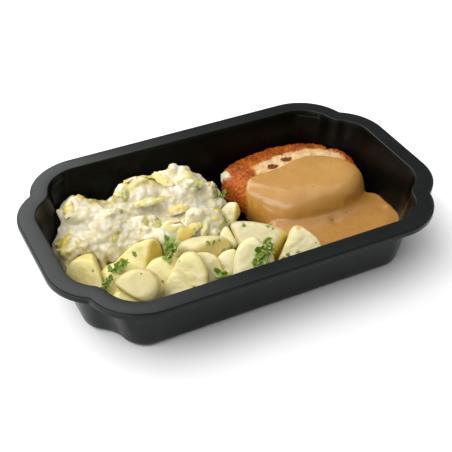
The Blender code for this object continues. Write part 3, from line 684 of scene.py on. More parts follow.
def makePatty():
    shell = pattyShell("breadedPatty", *patty["segments"], 0.0)
    points, normals = pointsOf(shell), normalsOf(shell)
    lumps = wobble(points, patty["lumpSize"], 4.0, 2)
    crumbs = np.array([noise.voronoi(Vector(p) / patty["crumbSize"])[0][0] for p in points])
    grains = wobble(points, 1.1, 9.0, 3)
    skin = np.clip((points[:, 2] - 2.0) / 3, 0, 1)
    place, reach = patty["smear"]
    apart = np.linalg.norm((points - np.array(place)) / np.array(reach), axis=1)
    apart += 0.25 * wobble(points, 2.5, 2.0, 2)
    smear = np.clip((1.0 - apart) / 0.3, 0, 1)
    relief = patty["lumpDepth"] * (lumps + 0.8) + patty["crumbDepth"] * (0.45 - crumbs) * 1.6 * (1 - smear)
    relief += 0.2 * grains + 0.9 * smear
    points = points + normals * (relief * skin)[:, None]
    middle = np.array([*patty["centre"], patty["floor"] + patty["height"] / 2])
    movePoints(shell, drawInside(middle, points, 0.2))
    x, y, z = points.T
    # the crust stops short of the middle, least at the right end
    angle = np.arctan2(y - patty["centre"][1], x - patty["centre"][0])
    share = np.hypot(x - patty["centre"][0], y - patty["centre"][1]) / pattyReach(angle)
    limit = patty["paleShare"] + patty["paleMore"] * np.maximum(np.cos(angle), 0) ** 2
    limit += 0.05 * wobble(points, 5.0, 7.0, 2)
    pale = np.clip((limit - share) / patty["paleEdge"] + 0.5, 0, 1) * (z > patty["paleAbove"])
    pale += np.clip((7.0 - z) / 4, 0, 1) * 0.8 * (y < patty["centre"][1])
    setValues(shell, "pale", pale)
    spot = np.zeros(len(points))
    for (sx, sy), length, width in patty["spots"]:
        apart = np.hypot((x - sx) / length, (y - sy) / width)
        spot = np.maximum(spot, np.clip(2.2 - 1.6 * apart, 0, 1) * (z > patty["paleAbove"] + 2))
    setValues(shell, "spot", np.clip(spot + 0.4 * grains * (spot > 0.02), 0, 1))
    setValues(shell, "smear", smear)
    return shell


# Grains scattered over a surface, used for crumbs, leek shreds, specks and parsley dust

def buildScatterTree():
    tree, given = startTree("scatterGrains", "Grains", {
        "Surface": "Geometry", "Grain": "Object", "Density": "Float", "Seed": "Int", "Smallest": "Float",
        "Largest": "Float", "Sink": "Float", "Lean": "Float", "Material": "Material"})
    mask = addNode(tree, "GeometryNodeInputNamedAttribute", {"Name": "scatter"}, data_type="FLOAT")
    amount = mathOf(tree, "MULTIPLY", given["Density"], mask.outputs["Attribute"])
    spread = addNode(tree, "GeometryNodeDistributePointsOnFaces", {
        "Mesh": given["Surface"], "Density": amount, "Seed": given["Seed"]})
    down = mathOf(tree, "MULTIPLY", given["Sink"], -1.0)
    inward = addNode(tree, "ShaderNodeVectorMath", {0: spread.outputs["Normal"], "Scale": down},
                     operation="SCALE")
    sunk = addNode(tree, "GeometryNodeSetPosition", {"Geometry": spread.outputs["Points"],
                                                     "Offset": inward.outputs[0]})
    back = mathOf(tree, "MULTIPLY", given["Lean"], -1.0)
    low = addNode(tree, "ShaderNodeCombineXYZ", {0: back, 1: back, 2: 0.0})
    high = addNode(tree, "ShaderNodeCombineXYZ", {0: given["Lean"], 1: given["Lean"], 2: 2 * math.pi})
    turn = addNode(tree, "FunctionNodeRandomValue", {
        0: low.outputs[0], 1: high.outputs[0], "Seed": given["Seed"]}, data_type="FLOAT_VECTOR")
    turn = addNode(tree, "FunctionNodeEulerToRotation", {0: turn.outputs[0]})
    turned = addNode(tree, "FunctionNodeRotateRotation", {0: spread.outputs["Rotation"], 1: turn.outputs[0]},
                     rotation_space="LOCAL")
    size = addNode(tree, "FunctionNodeRandomValue", {
        2: given["Smallest"], 3: given["Largest"], "Seed": given["Seed"]}, data_type="FLOAT")
    grain = addNode(tree, "GeometryNodeObjectInfo", {"Object": given["Grain"]})
    placed = addNode(tree, "GeometryNodeInstanceOnPoints", {
        "Points": sunk.outputs[0], "Instance": grain.outputs["Geometry"], "Rotation": turned.outputs[0],
        "Scale": size.outputs[1]})
    tint = addNode(tree, "FunctionNodeRandomValue", {2: 0.0, 3: 1.0, "Seed": 11}, data_type="FLOAT")
    tinted = addNode(tree, "GeometryNodeStoreNamedAttribute", {
        "Geometry": placed.outputs[0], "Name": "tint", "Value": tint.outputs[1]},
        data_type="FLOAT", domain="INSTANCE")
    return endTree(tree, tinted.outputs[0], given["Material"])


scatterTree = buildScatterTree()


def growGrains(name, surface, mask, grain, material, values):
    # surface's mesh is copied, so the piece itself stays as it is
    carrier = placeMesh(name, surface.data.copy())
    setValues(carrier, "scatter", mask)
    step = carrier.modifiers.new("grains", "NODES")
    step.node_group = scatterTree
    setInputs(step, {**values, "Grain": grain, "Material": material})
    bakeModifiers(carrier)
    bpy.data.objects.remove(grain)
    print(name + ":", len(carrier.data.polygons), "faces")
    return carrier


def scatterOn(name, surface, mask, grain, material, values):
    return finishPiece(growGrains(name, surface, mask, grain, material, values), material)


def lumpyGrain(name, half, detail=1, seed=1.0):
    # uneven lump one millimetre across before it is scaled
    directions, faces = ballGrid(detail)
    points = directions * half * (1 + 0.35 * wobble(directions, 0.9, seed, 2))[:, None]
    return meshObject(name, points, faces)


pattyPiece = makePatty()
crustMaterial = crustFinish()
finishPiece(pattyPiece, crustMaterial, ["patty"])
pattyPoints = pointsOf(pattyPiece)
crustShown = (pattyPoints[:, 2] > 5) & ((pattyPoints[:, 1] > 18) | (pattyPoints[:, 0] < 24))
crumbShare = crustShown * (1 - 0.8 * valuesOf(pattyPiece, "pale"))  # fewest loose crumbs on the pale middle
crumbGrain = lumpyGrain("crumbGrain", (1.0, 0.8, 0.55))
scatterOn("crustCrumbs", pattyPiece, crumbShare, crumbGrain, crustMaterial, patty["crumbs"])
print("patty:", len(pattyPiece.data.polygons), "faces")


# Potatoes: knife-cut pieces, each a rounded body trimmed by flat cuts and flattened against its neighbours

potato = {
    "rounding": 13,
    "detail": 6,
    "smallDetail": 5,
    "smallBelow": 14.5,
    "gap": 0.15,
    "viewAzimuth": 243.7,
    "viewRise": 37.9,
    "softening": 18,
    "grow": 0.4,
    "lumpDepth": 0.4,
    "lumpSize": 8.0,
    "grainDepth": 0.1,
    "grainSize": 2.2,
    "brownTip": "potato_12",
    "tipRadius": 2.0,
}

# centre, half sizes, turn, then the cuts: (azimuth, rise, distance), or (angle, distance) square to the view
potatoPieces = {
    "potato_1": ((-85, -2, 13), (17, 20, 14), 0,
                 [(165, 13), (140, 13), (115, 12.5), (85, 12), (30, 9), (228, 49, 8.6), (60, 72, 10.5)]),
    "potato_2": ((-56, 0, 13), (24, 15, 15), -20,
                 [(132, 7.5), (110, 8), (85, 11.5), (25, 13), (0, 13), (222, 42, 7), (297, 10, 8)]),
    "potato_3": ((-67, -30, 20.5), (15, 12.5, 10.5), -20,
                 [(140, 12), (115, 10), (87, 8.5), (50, 9.5), (20, 10), (350, 11), (232, 8), (230, 62, 8)]),
    "potato_4": ((-77, -33, 11), (13, 13, 11), 0, [(150, 9), (235, 60, 9)]),
    "potato_5": ((-41, -30, 15.5), (24, 18, 17), -20,
                 [(152, 8.5), (115, 13.5), (80, 15), (35, 13), (0, 11.5), (225, 40, 8)]),
    "potato_6": ((-29, -24, 13.5), (15, 15, 14), 0,
                 [(105, 9), (75, 9), (40, 10), (10, 11), (245, 45, 9)]),
    "potato_7": ((-20, -10, 13.5), (19, 13, 12), -24,
                 [(135, 12.5), (105, 8), (88, 7.5), (60, 11), (5, 14.5), (330, 13), (90, 84, 8.5),
                  (283, 22, 7.5)]),
    "potato_8": ((-13, -22, 10), (9, 10, 10), 0, [(130, 6), (100, 7), (10, 6), (345, 6), (240, 45, 6)]),
    "potato_9": ((7, 14, 14), (8, 9, 11), -20,
                 [(135, 5), (85, 6), (15, 5.5), (335, 5), (215, 6), (215, 38, 5), (305, 10, 5.5)]),
    "potato_10": ((13, -11, 12), (22, 17, 13), -34,
                  [(125, 16), (72, 7.5), (88, 8), (25, 17), (205, 13), (225, 12.5), (215, 72, 8),
                   (306, -4, 14.5)]),
    "potato_11": ((-3, -32, 16), (18, 17, 17), -20,
                  [(172, 9), (140, 10), (105, 12), (45, 10.5), (5, 12), (238, 42, 7.5)]),
    "potato_12": ((28, -31, 13), (18, 16, 17), -10,
                  [(155, 8), (100, 13), (57, 10), (25, 11), (232, 42, 6.5)]),
    "potato_13": ((-3, -3, 9), (7, 9, 8.5), 0, [(170, 5), (145, 6), (30, 4), (305, 6), (235, 50, 6)]),
    "potato_14": ((-71, -12, 10), (12, 14, 10), 10, [(225, 52, 8)]),
    "potato_15": ((-47, -17, 10), (12, 12, 10), 0, [(225, 52, 8)]),
}

# the sides coloured a deeper yellow, partly the potato's own yellow outside and partly painted shade on the
# sides turned from the light: direction as in the cuts, then strength
potatoSkinAndShade = {
    "potato_1": [((85,), 0.3), ((165,), 0.2)],
    "potato_2": [((12,), 1.0)],
    "potato_3": [((232,), 1.0), ((20,), 0.35)],
    "potato_5": [((0,), 0.6)],
    "potato_6": [((20,), 0.8)],
    "potato_7": [((283, 22), 0.45)],
    "potato_8": [((0,), 0.8)],
    "potato_9": [((305, 10), 0.7)],
    "potato_10": [((306, -4), 1.0), ((25,), 0.6)],
    "potato_11": [((5,), 0.5)],
    "potato_12": [((25,), 0.4)],
    "potato_13": [((0,), 1.0)],
}

# pieces painted darker than the rest: a painted shade that tones down the pieces that catch the most light
potatoPaintedShade = {"potato_10": 1.0, "potato_7": 0.4, "potato_3": 0.6}


def cutDirection(angles):
    # one angle turns up from the right in the plane square to the view; two are an azimuth and a rise
    if len(angles) == 2:
        return aim(*angles)
    across = aim(potato["viewAzimuth"] + 90, 0)
    up = np.cross(aim(potato["viewAzimuth"], potato["viewRise"]), across)
    turn = math.radians(angles[0])
    return across * math.cos(turn) + up * math.sin(turn)


def newPiece(centre, half, turn, cuts):
    spin = math.radians(turn)
    axes = np.array([[math.cos(spin), math.sin(spin), 0], [-math.sin(spin), math.cos(spin), 0], [0, 0, 1]])
    return {"centre": np.array(centre, float), "half": np.array(half, float), "axes": axes, "contacts": [],
            "cuts": [(cutDirection(one[:-1]), one[-1]) for one in cuts]}


def pieceReach(piece, directions, rounding):
    # distance from the centre to the surface along each direction
    body = np.linalg.norm((directions @ piece["axes"].T) / piece["half"], axis=1)
    total = body ** rounding
    for normal, distance in piece["cuts"]:
        total += (np.maximum(directions @ normal, 0) / distance) ** rounding
    reach = total ** (-1 / rounding)
    for normal, distance in piece["contacts"]:
        facing = np.maximum(directions @ normal, 0.000001)
        reach = np.minimum(reach, distance / facing)
    return reach


def piecePoints(piece, directions, rounding=22):
    return piece["centre"] + directions * pieceReach(piece, directions, rounding)[:, None]


def flattenContacts(pieces, fixedPoints):
    # touching pieces are flattened where they overlap least
    directions = ballGrid(4)[0]
    candidates = ballGrid(3)[0]

    def widest(a, b):
        endsA, endsB = (a @ candidates.T).max(axis=0), (b @ candidates.T).min(axis=0)
        best = (endsB - endsA).argmax()
        return candidates[best], endsA[best], endsB[best]

    gap = potato["gap"]
    for _ in range(2):
        for i, a in enumerate(pieces):
            for b in pieces[i + 1:]:
                normal, endA, endB = widest(piecePoints(a, directions), piecePoints(b, directions))
                if endB - endA < gap:
                    middle = (endA + endB) / 2
                    a["contacts"].append((normal, middle - gap / 2 - normal @ a["centre"]))
                    b["contacts"].append((-normal, normal @ b["centre"] - middle - gap / 2))
            normal, endA, endB = widest(piecePoints(a, directions), fixedPoints)
            if endB - endA < gap:
                a["contacts"].append((normal, endB - gap - normal @ a["centre"]))


def potatoFinish():
    material, tree, shader = newFinish("boiledPotato", **{
        "Subsurface Weight": 0.6, "Subsurface Scale": 0.0045, "Subsurface Radius": (1.0, 0.78, 0.2),
        "Specular IOR Level": 0.45, "Coat Weight": 0.15, "Coat Roughness": 0.25})
    broad = noiseOf(tree, 11, 3)
    mottle = noiseOf(tree, 2.2, 4, 0.65)
    pale = blendColours(tree, ranged(tree, broad, 0.35, 0.65), srgb(203, 193, 144), srgb(209, 202, 167))
    golden = blendColours(tree, ranged(tree, broad, 0.35, 0.65), srgb(205, 189, 108), srgb(209, 198, 133))
    pale = blendColours(tree, valueOf(tree, "golden"), pale, golden)
    pale = blendColours(tree, ranged(tree, mottle, 0.45, 0.75, 0.0, 0.4), pale, srgb(212, 196, 122))
    # painted shade: whole pieces turn a darker beige by their pieceShade value
    pale = blendColours(tree, valueOf(tree, "pieceShade"), pale, srgb(180, 171, 128))
    # the potato's own yellow outside, also used as painted shade on the sides away from the light and low
    # down
    yellowSkinAndShade = blendColours(tree, ranged(tree, mottle, 0.3, 0.7), srgb(208, 176, 48), srgb(216, 192, 88))
    edge = mathOf(tree, "ADD", valueOf(tree, "yellowSkinAndShade"), ranged(tree, broad, 0.3, 0.7, -0.15, 0.15))
    base = blendColours(tree, ranged(tree, edge, 0.15, 0.85), pale, yellowSkinAndShade)
    base = blendColours(tree, valueOf(tree, "brown"), base, srgb(190, 140, 64))
    tree.links.new(base, shader.inputs["Base Color"])
    tree.links.new(ranged(tree, mottle, 0.3, 0.7, 0.30, 0.46), shader.inputs["Roughness"])
    addBump(tree, shader, noiseOf(tree, 0.8, 4, 0.6), 0.35, 0.12)
    return material


def makePotato(name, piece, material):
    small = max(piece["half"]) < potato["smallBelow"]
    directions, faces = ballGrid(potato["smallDetail" if small else "detail"])
    points = piecePoints(piece, directions, potato["rounding"])
    shape = relax(meshObject(name + "_flesh", points, faces), potato["softening"] // (3 if small else 1))
    points, normals = pointsOf(shape), normalsOf(shape)
    seed = piece["centre"][0]
    relief = potato["lumpDepth"] * wobble(points, potato["lumpSize"], seed, 2)
    relief += potato["grainDepth"] * wobble(points, potato["grainSize"], seed, 3)
    points = points + normals * (relief + potato["grow"])[:, None]
    movePoints(shape, drawInside(piece["centre"], points, 0.3))
    yellowSkinAndShade = np.zeros(len(points))
    for angles, strength in potatoSkinAndShade.get(name, []):
        facing = normals @ cutDirection(angles)
        yellowSkinAndShade = np.maximum(yellowSkinAndShade, strength * np.clip((facing - 0.45) / 0.35, 0, 1))
    # painted shade: the lower parts, toward the tray's base, also take the deeper yellow
    setValues(shape, "yellowSkinAndShade", np.maximum(yellowSkinAndShade, 0.5 * np.clip((8 - points[:, 2]) / 6, 0, 1)))
    # pieces to the left are the yellower ones
    setValues(shape, "golden", np.full(len(points), np.clip((-10 - piece["centre"][0]) / 60, 0, 1)))
    setValues(shape, "pieceShade", np.full(len(points), potatoPaintedShade.get(name, 0.0)))
    brown = np.zeros(len(points))
    if name == potato["brownTip"]:
        tip = points[points[:, 2].argmax()]
        brown = np.clip(1.4 - np.linalg.norm(points - tip, axis=1) / potato["tipRadius"], 0, 1)
    setValues(shape, "brown", brown)
    return finishPiece(shape, material, [name])


def makePotatoes():
    pieces = {name: newPiece(*values) for name, values in potatoPieces.items()}
    clearShell = pattyShell("pattyClear", 84, 19, patty["clear"])
    flattenContacts(list(pieces.values()), pointsOf(clearShell))
    bpy.data.objects.remove(clearShell)
    material = potatoFinish()
    return pieces, [makePotato(name, piece, material) for name, piece in pieces.items()]


potatoes, potatoThings = makePotatoes()
print("potatoes:", len(potatoThings), "pieces")


# Sauce: a level pool that rises in a soft foot and drapes over the front of the patty

sauce = {
    "level": 10.5,
    "thickness": 2.6,
    "drapeMiddle": 56.5,
    "drapeLeft": 37.5,
    "drapeRight": 37.0,
    "drapeFront": 3.5,
    "drapeDepth": 28.0,
    "drapeSlant": 0.07,
    "drapePower": 2.9,
    "wave": 2.8,
    "waveStart": 30.0,
    "waveLength": 52.0,
    "poolLeft": 12.0,
    "poolBack": 4.0,
    "poolEdge": 7.0,
    "poolDrop": 7.5,
    "leftEdge": 14.5,
    "leftRound": 6.0,
    "corner": (91.0, -7.0),
    "cornerRadius": 7.0,
    "footHeight": 2.0,
    "footReach": 2.4,
    "footFrom": 22.0,
    "wallGap": 0.15,
    "pattyOverlap": 0.2,
    "voxel": 0.6,
    "roundsOfSmoothing": 14,
    "swellDepth": 0.45,
    "swellSize": 15.0,
    "creaseEnds": ((23.5, 12.0, 21.0), (34.0, 7.0, 21.0)),
    "creaseDepth": 0.3,
    "creaseWidth": 0.9,
    "bumps": [((96, -18, 10.5), 2.6, 0.8), ((60, -17, 10.5), 3.0, -0.7)],
    "specks": {"Density": 2600.0, "Seed": 5, "Smallest": 0.28, "Largest": 0.62, "Sink": 0.00008, "Lean": 0.3},
}


def drapeBack(x):
    # where the sauce ends on top of the patty
    away = x - sauce["drapeMiddle"]
    u = np.minimum(np.abs(away) / np.where(away > 0, sauce["drapeRight"], sauce["drapeLeft"]), 1)
    arc = (1 - u ** sauce["drapePower"]) ** (1 / sauce["drapePower"])
    wave = sauce["wave"] * np.sin(2 * math.pi * (x - sauce["waveStart"]) / sauce["waveLength"])
    fine = np.array([0.9 * noise.noise(Vector((value / 5.0, 2.0, 0))) for value in np.atleast_1d(x)])
    return sauce["drapeFront"] + sauce["drapeDepth"] * arc - sauce["drapeSlant"] * away - (wave + fine) * arc


def poolHeight(x, y):
    ripple = 0.35 * wobble(np.stack([x, y, 0 * x], -1), 17.0, 0.0, 1)
    fall = np.maximum(y - (sauce["poolBack"] - sauce["poolEdge"]), 0) / sauce["poolEdge"]
    dx, dy = x - patty["centre"][0], y - patty["centre"][1]
    outside = np.hypot(dx, dy) - pattyReach(np.arctan2(dy, dx)) - patty["clear"] - sauce["thickness"]
    foot = sauce["footHeight"] * np.exp(-np.maximum(outside, 0) / sauce["footReach"])
    foot = foot * np.clip((x - sauce["footFrom"]) / 12, 0, 1)
    # the left end is rounded off behind the potatoes, the back right corner against the wall
    left = sauce["leftEdge"] + 3.0 * wobble(np.stack([y, 0 * y, 0 * y], -1), 9.0, 4.0, 2)
    ends = sauce["poolDrop"] * (np.maximum(left + sauce["leftRound"] - x, 0) / sauce["leftRound"]) ** 2
    beyond = np.hypot(np.maximum(x - sauce["corner"][0], 0), np.maximum(y - sauce["corner"][1], 0))
    ends = ends + np.maximum(beyond - sauce["cornerRadius"], 0) ** 2
    return np.maximum(sauce["level"] + ripple - sauce["poolDrop"] * fall ** 2 + foot - ends, -1.0)


def makeSlab(name, xs, ys, heights, bottom):
    rows, columns = len(ys), len(xs)
    top = [(x, y, heights[r, c]) for r, y in enumerate(ys) for c, x in enumerate(xs)]
    low = [(x, y, bottom) for y in ys for x in xs]
    count = rows * columns
    upper = gridFaces(rows, columns)
    lower = [tuple(count + i for i in reversed(face)) for face in upper]
    rim = list(range(columns)) + [columns * r + columns - 1 for r in range(1, rows)]
    rim += list(reversed(range(columns * (rows - 1), count - 1)))
    rim += [columns * r for r in reversed(range(1, rows - 1))]
    sides = [(b, a, a + count, b + count) for a, b in zip(rim, rim[1:] + rim[:1])]
    return faceOut(meshObject(name, top + low, upper + lower + sides))


def sauceFinish():
    material, tree, shader = newFinish("creamSauce", **{
        "Subsurface Weight": 0.3, "Subsurface Scale": 0.004, "Subsurface Radius": (1.0, 0.55, 0.2),
        "Specular IOR Level": 0.35, "Coat Weight": 0.22, "Coat Roughness": 0.08})
    broad = noiseOf(tree, 16, 3)
    cloud = noiseOf(tree, 7, 3, 0.5)
    top = blendColours(tree, ranged(tree, broad, 0.35, 0.65), srgb(164, 119, 56), srgb(172, 129, 66))
    pool = blendColours(tree, ranged(tree, broad, 0.35, 0.65), srgb(152, 106, 42), srgb(158, 113, 50))
    base = blendColours(tree, valueOf(tree, "height"), pool, top)
    # painted shade: the steep front of the drape takes a deeper, patchy amber in place of the top's colour
    side = blendColours(tree, ranged(tree, cloud, 0.3, 0.7), srgb(156, 100, 28), srgb(206, 152, 70))
    base = blendColours(tree, valueOf(tree, "front"), base, side)
    tree.links.new(base, shader.inputs["Base Color"])
    tree.links.new(ranged(tree, cloud, 0.3, 0.7, 0.20, 0.32), shader.inputs["Roughness"])
    addBump(tree, shader, cloud, 0.15, 0.3)
    return material


def speckFinish():
    material, tree, shader = newFinish("pepperSpeck", **{"Roughness": 0.5})
    shade = blendColours(tree, valueOf(tree, "tint"), srgb(92, 66, 40), srgb(52, 38, 26))
    grain = blendColours(tree, ranged(tree, noiseOf(tree, 0.4, 3), 0.3, 0.7), shade, srgb(70, 50, 32))
    tree.links.new(grain, shader.inputs["Base Color"])
    return material


def makeDrape():
    # the patty's own form, grown by the sauce's thickness and kept where the sauce lies on it
    quarter = np.linspace(0, math.pi / 2, 40)
    xs = sauce["drapeMiddle"] + np.concatenate([
        -sauce["drapeLeft"] * np.cos(quarter), sauce["drapeRight"] * np.sin(quarter)[1:]])
    side, front = tray["length"] / 2, -tray["width"] / 2
    backs = drapeBack(xs)
    plan = list(zip(xs, backs)) + [(side, backs[-1] - 1), (side, front), (xs[0], front)]
    walls = [(x, y, z) for z in (-30, 80) for x, y in plan]
    region = faceOut(meshObject("region", walls, ringFaces(len(plan), 2)))
    return cut(pattyShell("drape", 220, 70, patty["clear"] + sauce["thickness"]), region, "INTERSECT")


def makePool():
    xs = np.linspace(sauce["poolLeft"], tray["length"] / 2 + 4, 90)
    ys = np.linspace(-tray["width"] / 2 - 2, sauce["poolBack"], 70)
    gridX, gridY = np.meshgrid(xs, ys)
    heights = poolHeight(gridX.ravel(), gridY.ravel()).reshape(gridX.shape)
    return makeSlab("pool", xs, ys, heights, -1.5)


def sauceRelief(points):
    # slow swells, the crease at the drape's left end and the small bumps
    swell = sauce["swellDepth"] * wobble(points, sauce["swellSize"], 3.0, 2)
    start, end = (np.array(one) for one in sauce["creaseEnds"])
    along = np.clip((points - start) @ (end - start) / ((end - start) @ (end - start)), 0, 1)
    apart = np.linalg.norm(points - start - along[:, None] * (end - start), axis=1)
    swell += sauce["creaseDepth"] * np.exp(-(apart / sauce["creaseWidth"]) ** 2)
    for centre, radius, height in sauce["bumps"]:
        swell += height * np.exp(-(np.linalg.norm(points - np.array(centre), axis=1) / radius) ** 2)
    return swell


def makeSauce():
    drape = makeDrape()
    whole = voxelSkin(joinThings("creamSauce", [makePool(), drape]), sauce["voxel"])
    relax(whole, sauce["roundsOfSmoothing"])
    points, normals = pointsOf(whole), normalsOf(whole)
    movePoints(whole, points + normals * sauceRelief(points)[:, None])
    relax(whole, 3)
    cut(whole, trayInterior(sauce["wallGap"]), "INTERSECT")
    cut(whole, pattyShell("pattyCore", 160, 50, -sauce["pattyOverlap"]), "DIFFERENCE")
    for thing in potatoThings:
        cut(whole, thing, "DIFFERENCE", keepTool=True)
    points, normals = pointsOf(whole), normalsOf(whole)
    setValues(whole, "height", np.clip((points[:, 2] - 13) / 6, 0, 1))
    # painted shade mask: faces steeper than the top, above the pool's level
    facing = np.clip((0.62 - normals[:, 2]) / 0.5, 0, 1)
    setValues(whole, "front", facing * np.clip((points[:, 2] - sauce["level"]) / 2, 0, 1))
    return whole


saucePiece = makeSauce()
finishPiece(saucePiece, sauceFinish(), ["sauce"], sharp=50)
sauceTop = (normalsOf(saucePiece)[:, 2] > 0.45) & (pointsOf(saucePiece)[:, 2] > 8)
speckMaterial = speckFinish()
speckGrain = lumpyGrain("speckGrain", (1.0, 0.8, 0.4))
scatterOn("sauceSpecks", saucePiece, sauceTop.astype(float), speckGrain, speckMaterial,
          sauce["specks"])
print("sauce:", len(saucePiece.data.polygons), "faces")


# Leek heap: the frame's own form with a finer skin, creamy relief, and the leek pieces on it

heap = {
    "voxel": 0.58,
    "smoothing": 6,
    "softening": 22,
    "middle": (-48.0, 28.0, 10.0),
    "leekAbove": 9.0,
    "sink": 0.9,
    "foldDepth": 1.2,
    "foldSize": 8.0,
    "foldStretch": 1.6,
    "foldHeading": -20.0,
    "lumpDepth": 0.55,
    "lumpSize": 5.5,
    "grainDepth": 0.05,
    "grainSize": 1.5,
    "bulges": [((-66, 28, 22), 13, 2.6), ((-58, 20, 23), 14, 2.8), ((-16, 12, 22), 8, 1.4),
               ((-34, 8, 18), 9, 1.5)],
    "wideStrip": (13, 5.0),
    "thinStrip": (9, 2.6),
    "stripThickness": 1.1,
    "leafThickness": 0.8,
    "leafLift": 0.6,
    "wide": {"Density": 7000.0, "Seed": 21, "Smallest": 0.75, "Largest": 1.3, "Sink": -0.0001, "Lean": 0.35},
    "thin": {"Density": 4500.0, "Seed": 44, "Smallest": 0.7, "Largest": 1.3, "Sink": -0.0001, "Lean": 0.5},
    "specks": {"Density": 2600.0, "Seed": 31, "Smallest": 0.16, "Largest": 0.34,
               "Sink": 0.00004, "Lean": 0.3},
}

# leek pieces that show: centre, heading and rise of the long side, facing, length, width,
# tint from green to yellow
leekStrips = [
    ((-35, 47, 31.5), (-20, 4), (100, 55), 19, 6, 0.95),
    ((-48, 44, 29.5), (40, 10), (230, 60), 12, 6, 0.72),
    ((-25, 37, 33), (-60, -10), (240, 60), 15, 5, 0.82),
    ((-23, 20, 22.5), (-15, 12), (240, 50), 11, 5, 0.95),
    ((-34, 3, 18), (-14, 16), (258, 40), 24, 8, 1.0),
    ((-38, 7, 20.5), (-16, 12), (245, 60), 22, 8, 0.6),
    ((-22, 5, 18.5), (-10, 20), (230, 50), 12, 5, 0.9),
    ((-5, 5, 17), (60, 50), (290, 30), 15, 8, 0.95),
    ((-12, 27, 33), (-30, 5), (240, 65), 15, 6, 0.3),
    ((2, 24, 25), (80, 50), (320, 35), 8, 5, 0.1),
    ((-38, 27, 28), (-14, 5), (240, 60), 17, 4, 0.7),
    ((-82, 40, 28.5), (75, 20), (200, 60), 10, 6, 0.9),
    ((-58, 4, 14), (-40, -30), (240, 40), 10, 6, 0.5),
]


def creamFinish():
    material, tree, shader = newFinish("creamedLeek", **{
        "Subsurface Weight": 0.65, "Subsurface Scale": 0.006, "Subsurface Radius": (1.0, 0.85, 0.55),
        "Specular IOR Level": 0.5, "Coat Weight": 0.15, "Coat Roughness": 0.2})
    broad = noiseOf(tree, 9, 3)
    fine = noiseOf(tree, 2.4, 4, 0.65)
    cream = blendColours(tree, ranged(tree, broad, 0.35, 0.65), srgb(200, 192, 166), srgb(208, 203, 185))
    cream = blendColours(tree, ranged(tree, fine, 0.55, 0.80, 0.0, 0.4), cream, srgb(206, 196, 152))
    # painted shade: the hollows between lumps turn a warmer, darker cream
    base = blendColours(tree, ranged(tree, valueOf(tree, "hollowShade"), 0, 1, 0, 0.5), cream, srgb(206, 190, 128))
    hue = valueOf(tree, "hue")
    leek = blendColours(tree, ranged(tree, hue, 0.1, 0.5), srgb(156, 150, 76), srgb(186, 164, 58))
    leek = blendColours(tree, ranged(tree, hue, 0.6, 0.9), leek, srgb(196, 188, 134))
    shown = mathOf(tree, "ADD", valueOf(tree, "leek"), ranged(tree, fine, 0.35, 0.65, -0.35, 0.25))
    base = blendColours(tree, ranged(tree, shown, 0.2, 0.8, 0.0, 0.95), base, leek)
    tree.links.new(base, shader.inputs["Base Color"])
    tree.links.new(ranged(tree, fine, 0.3, 0.7, 0.28, 0.5), shader.inputs["Roughness"])
    addBump(tree, shader, noiseOf(tree, 0.9, 5, 0.65), 0.4, 0.2)
    return material


def leekFinish(name, cream):
    # cream is the share of the leek piece that the cream still covers
    material, tree, shader = newFinish(name, **{
        "Subsurface Weight": 0.25, "Subsurface Scale": 0.002, "Subsurface Radius": (1.0, 0.9, 0.3),
        "Specular IOR Level": 0.5, "Coat Weight": 0.25, "Coat Roughness": 0.15})
    tint = valueOf(tree, "tint")
    colours = addNode(tree, "ShaderNodeValToRGB", {"Fac": tint})
    stops = colours.color_ramp.elements
    stops[0].position, stops[0].color = 0.0, srgb(96, 108, 48)
    stops[1].position, stops[1].color = 1.0, srgb(202, 172, 46)
    between = {0.3: srgb(140, 140, 66), 0.55: srgb(176, 170, 92), 0.8: srgb(196, 180, 92)}
    for place, colour in between.items():
        stops.new(place).color = colour
    fibre = addNode(tree, "ShaderNodeTexWave", {
        "Vector": addNode(tree, "ShaderNodeUVMap").outputs[0],
        "Scale": 5.0, "Distortion": 1.6, "Detail": 2.0}, bands_direction="Y")
    veined = blendColours(tree, ranged(tree, fibre.outputs["Fac"], 0.2, 0.9, 0.0, 0.35), colours.outputs[0],
                          srgb(228, 220, 170))
    patches = ranged(tree, noiseOf(tree, 6.0, 2, 0.4), 0.62 - cream * 0.35, 0.78 - cream * 0.35)
    base = blendColours(tree, patches, veined, srgb(212, 206, 184))
    tree.links.new(base, shader.inputs["Base Color"])
    tree.links.new(ranged(tree, patches, 0, 1, 0.26, 0.42), shader.inputs["Roughness"])
    addBump(tree, shader, mathOf(tree, "ADD", fibre.outputs["Fac"], noiseOf(tree, 0.9, 3)), 0.35, 0.15)
    return material


def coatedStrip(length, width):
    # bent leek strip, to be scattered and then grown together under the cream
    rows, columns = 13, 6
    points = []
    for s in np.linspace(-1, 1, rows):
        for t in np.linspace(-1, 1, columns):
            narrow = 1 - 0.45 * s * s + 0.15 * noise.noise(Vector((s * 3, width, 0)))
            lift = 0.3 - 0.10 * length * s * s - 0.25 * width * t * t + 0.4 * math.sin(5 * s + width) * t
            points.append((s * length / 2, t * narrow * width / 2, lift))
    return thicken(meshObject("coatedStrip", points, gridFaces(rows, columns)), heap["stripThickness"])


def facingUp(points, normals):
    return np.clip((normals[:, 2] + 0.15) * 2, 0, 1) * (points[:, 2] > heap["leekAbove"])


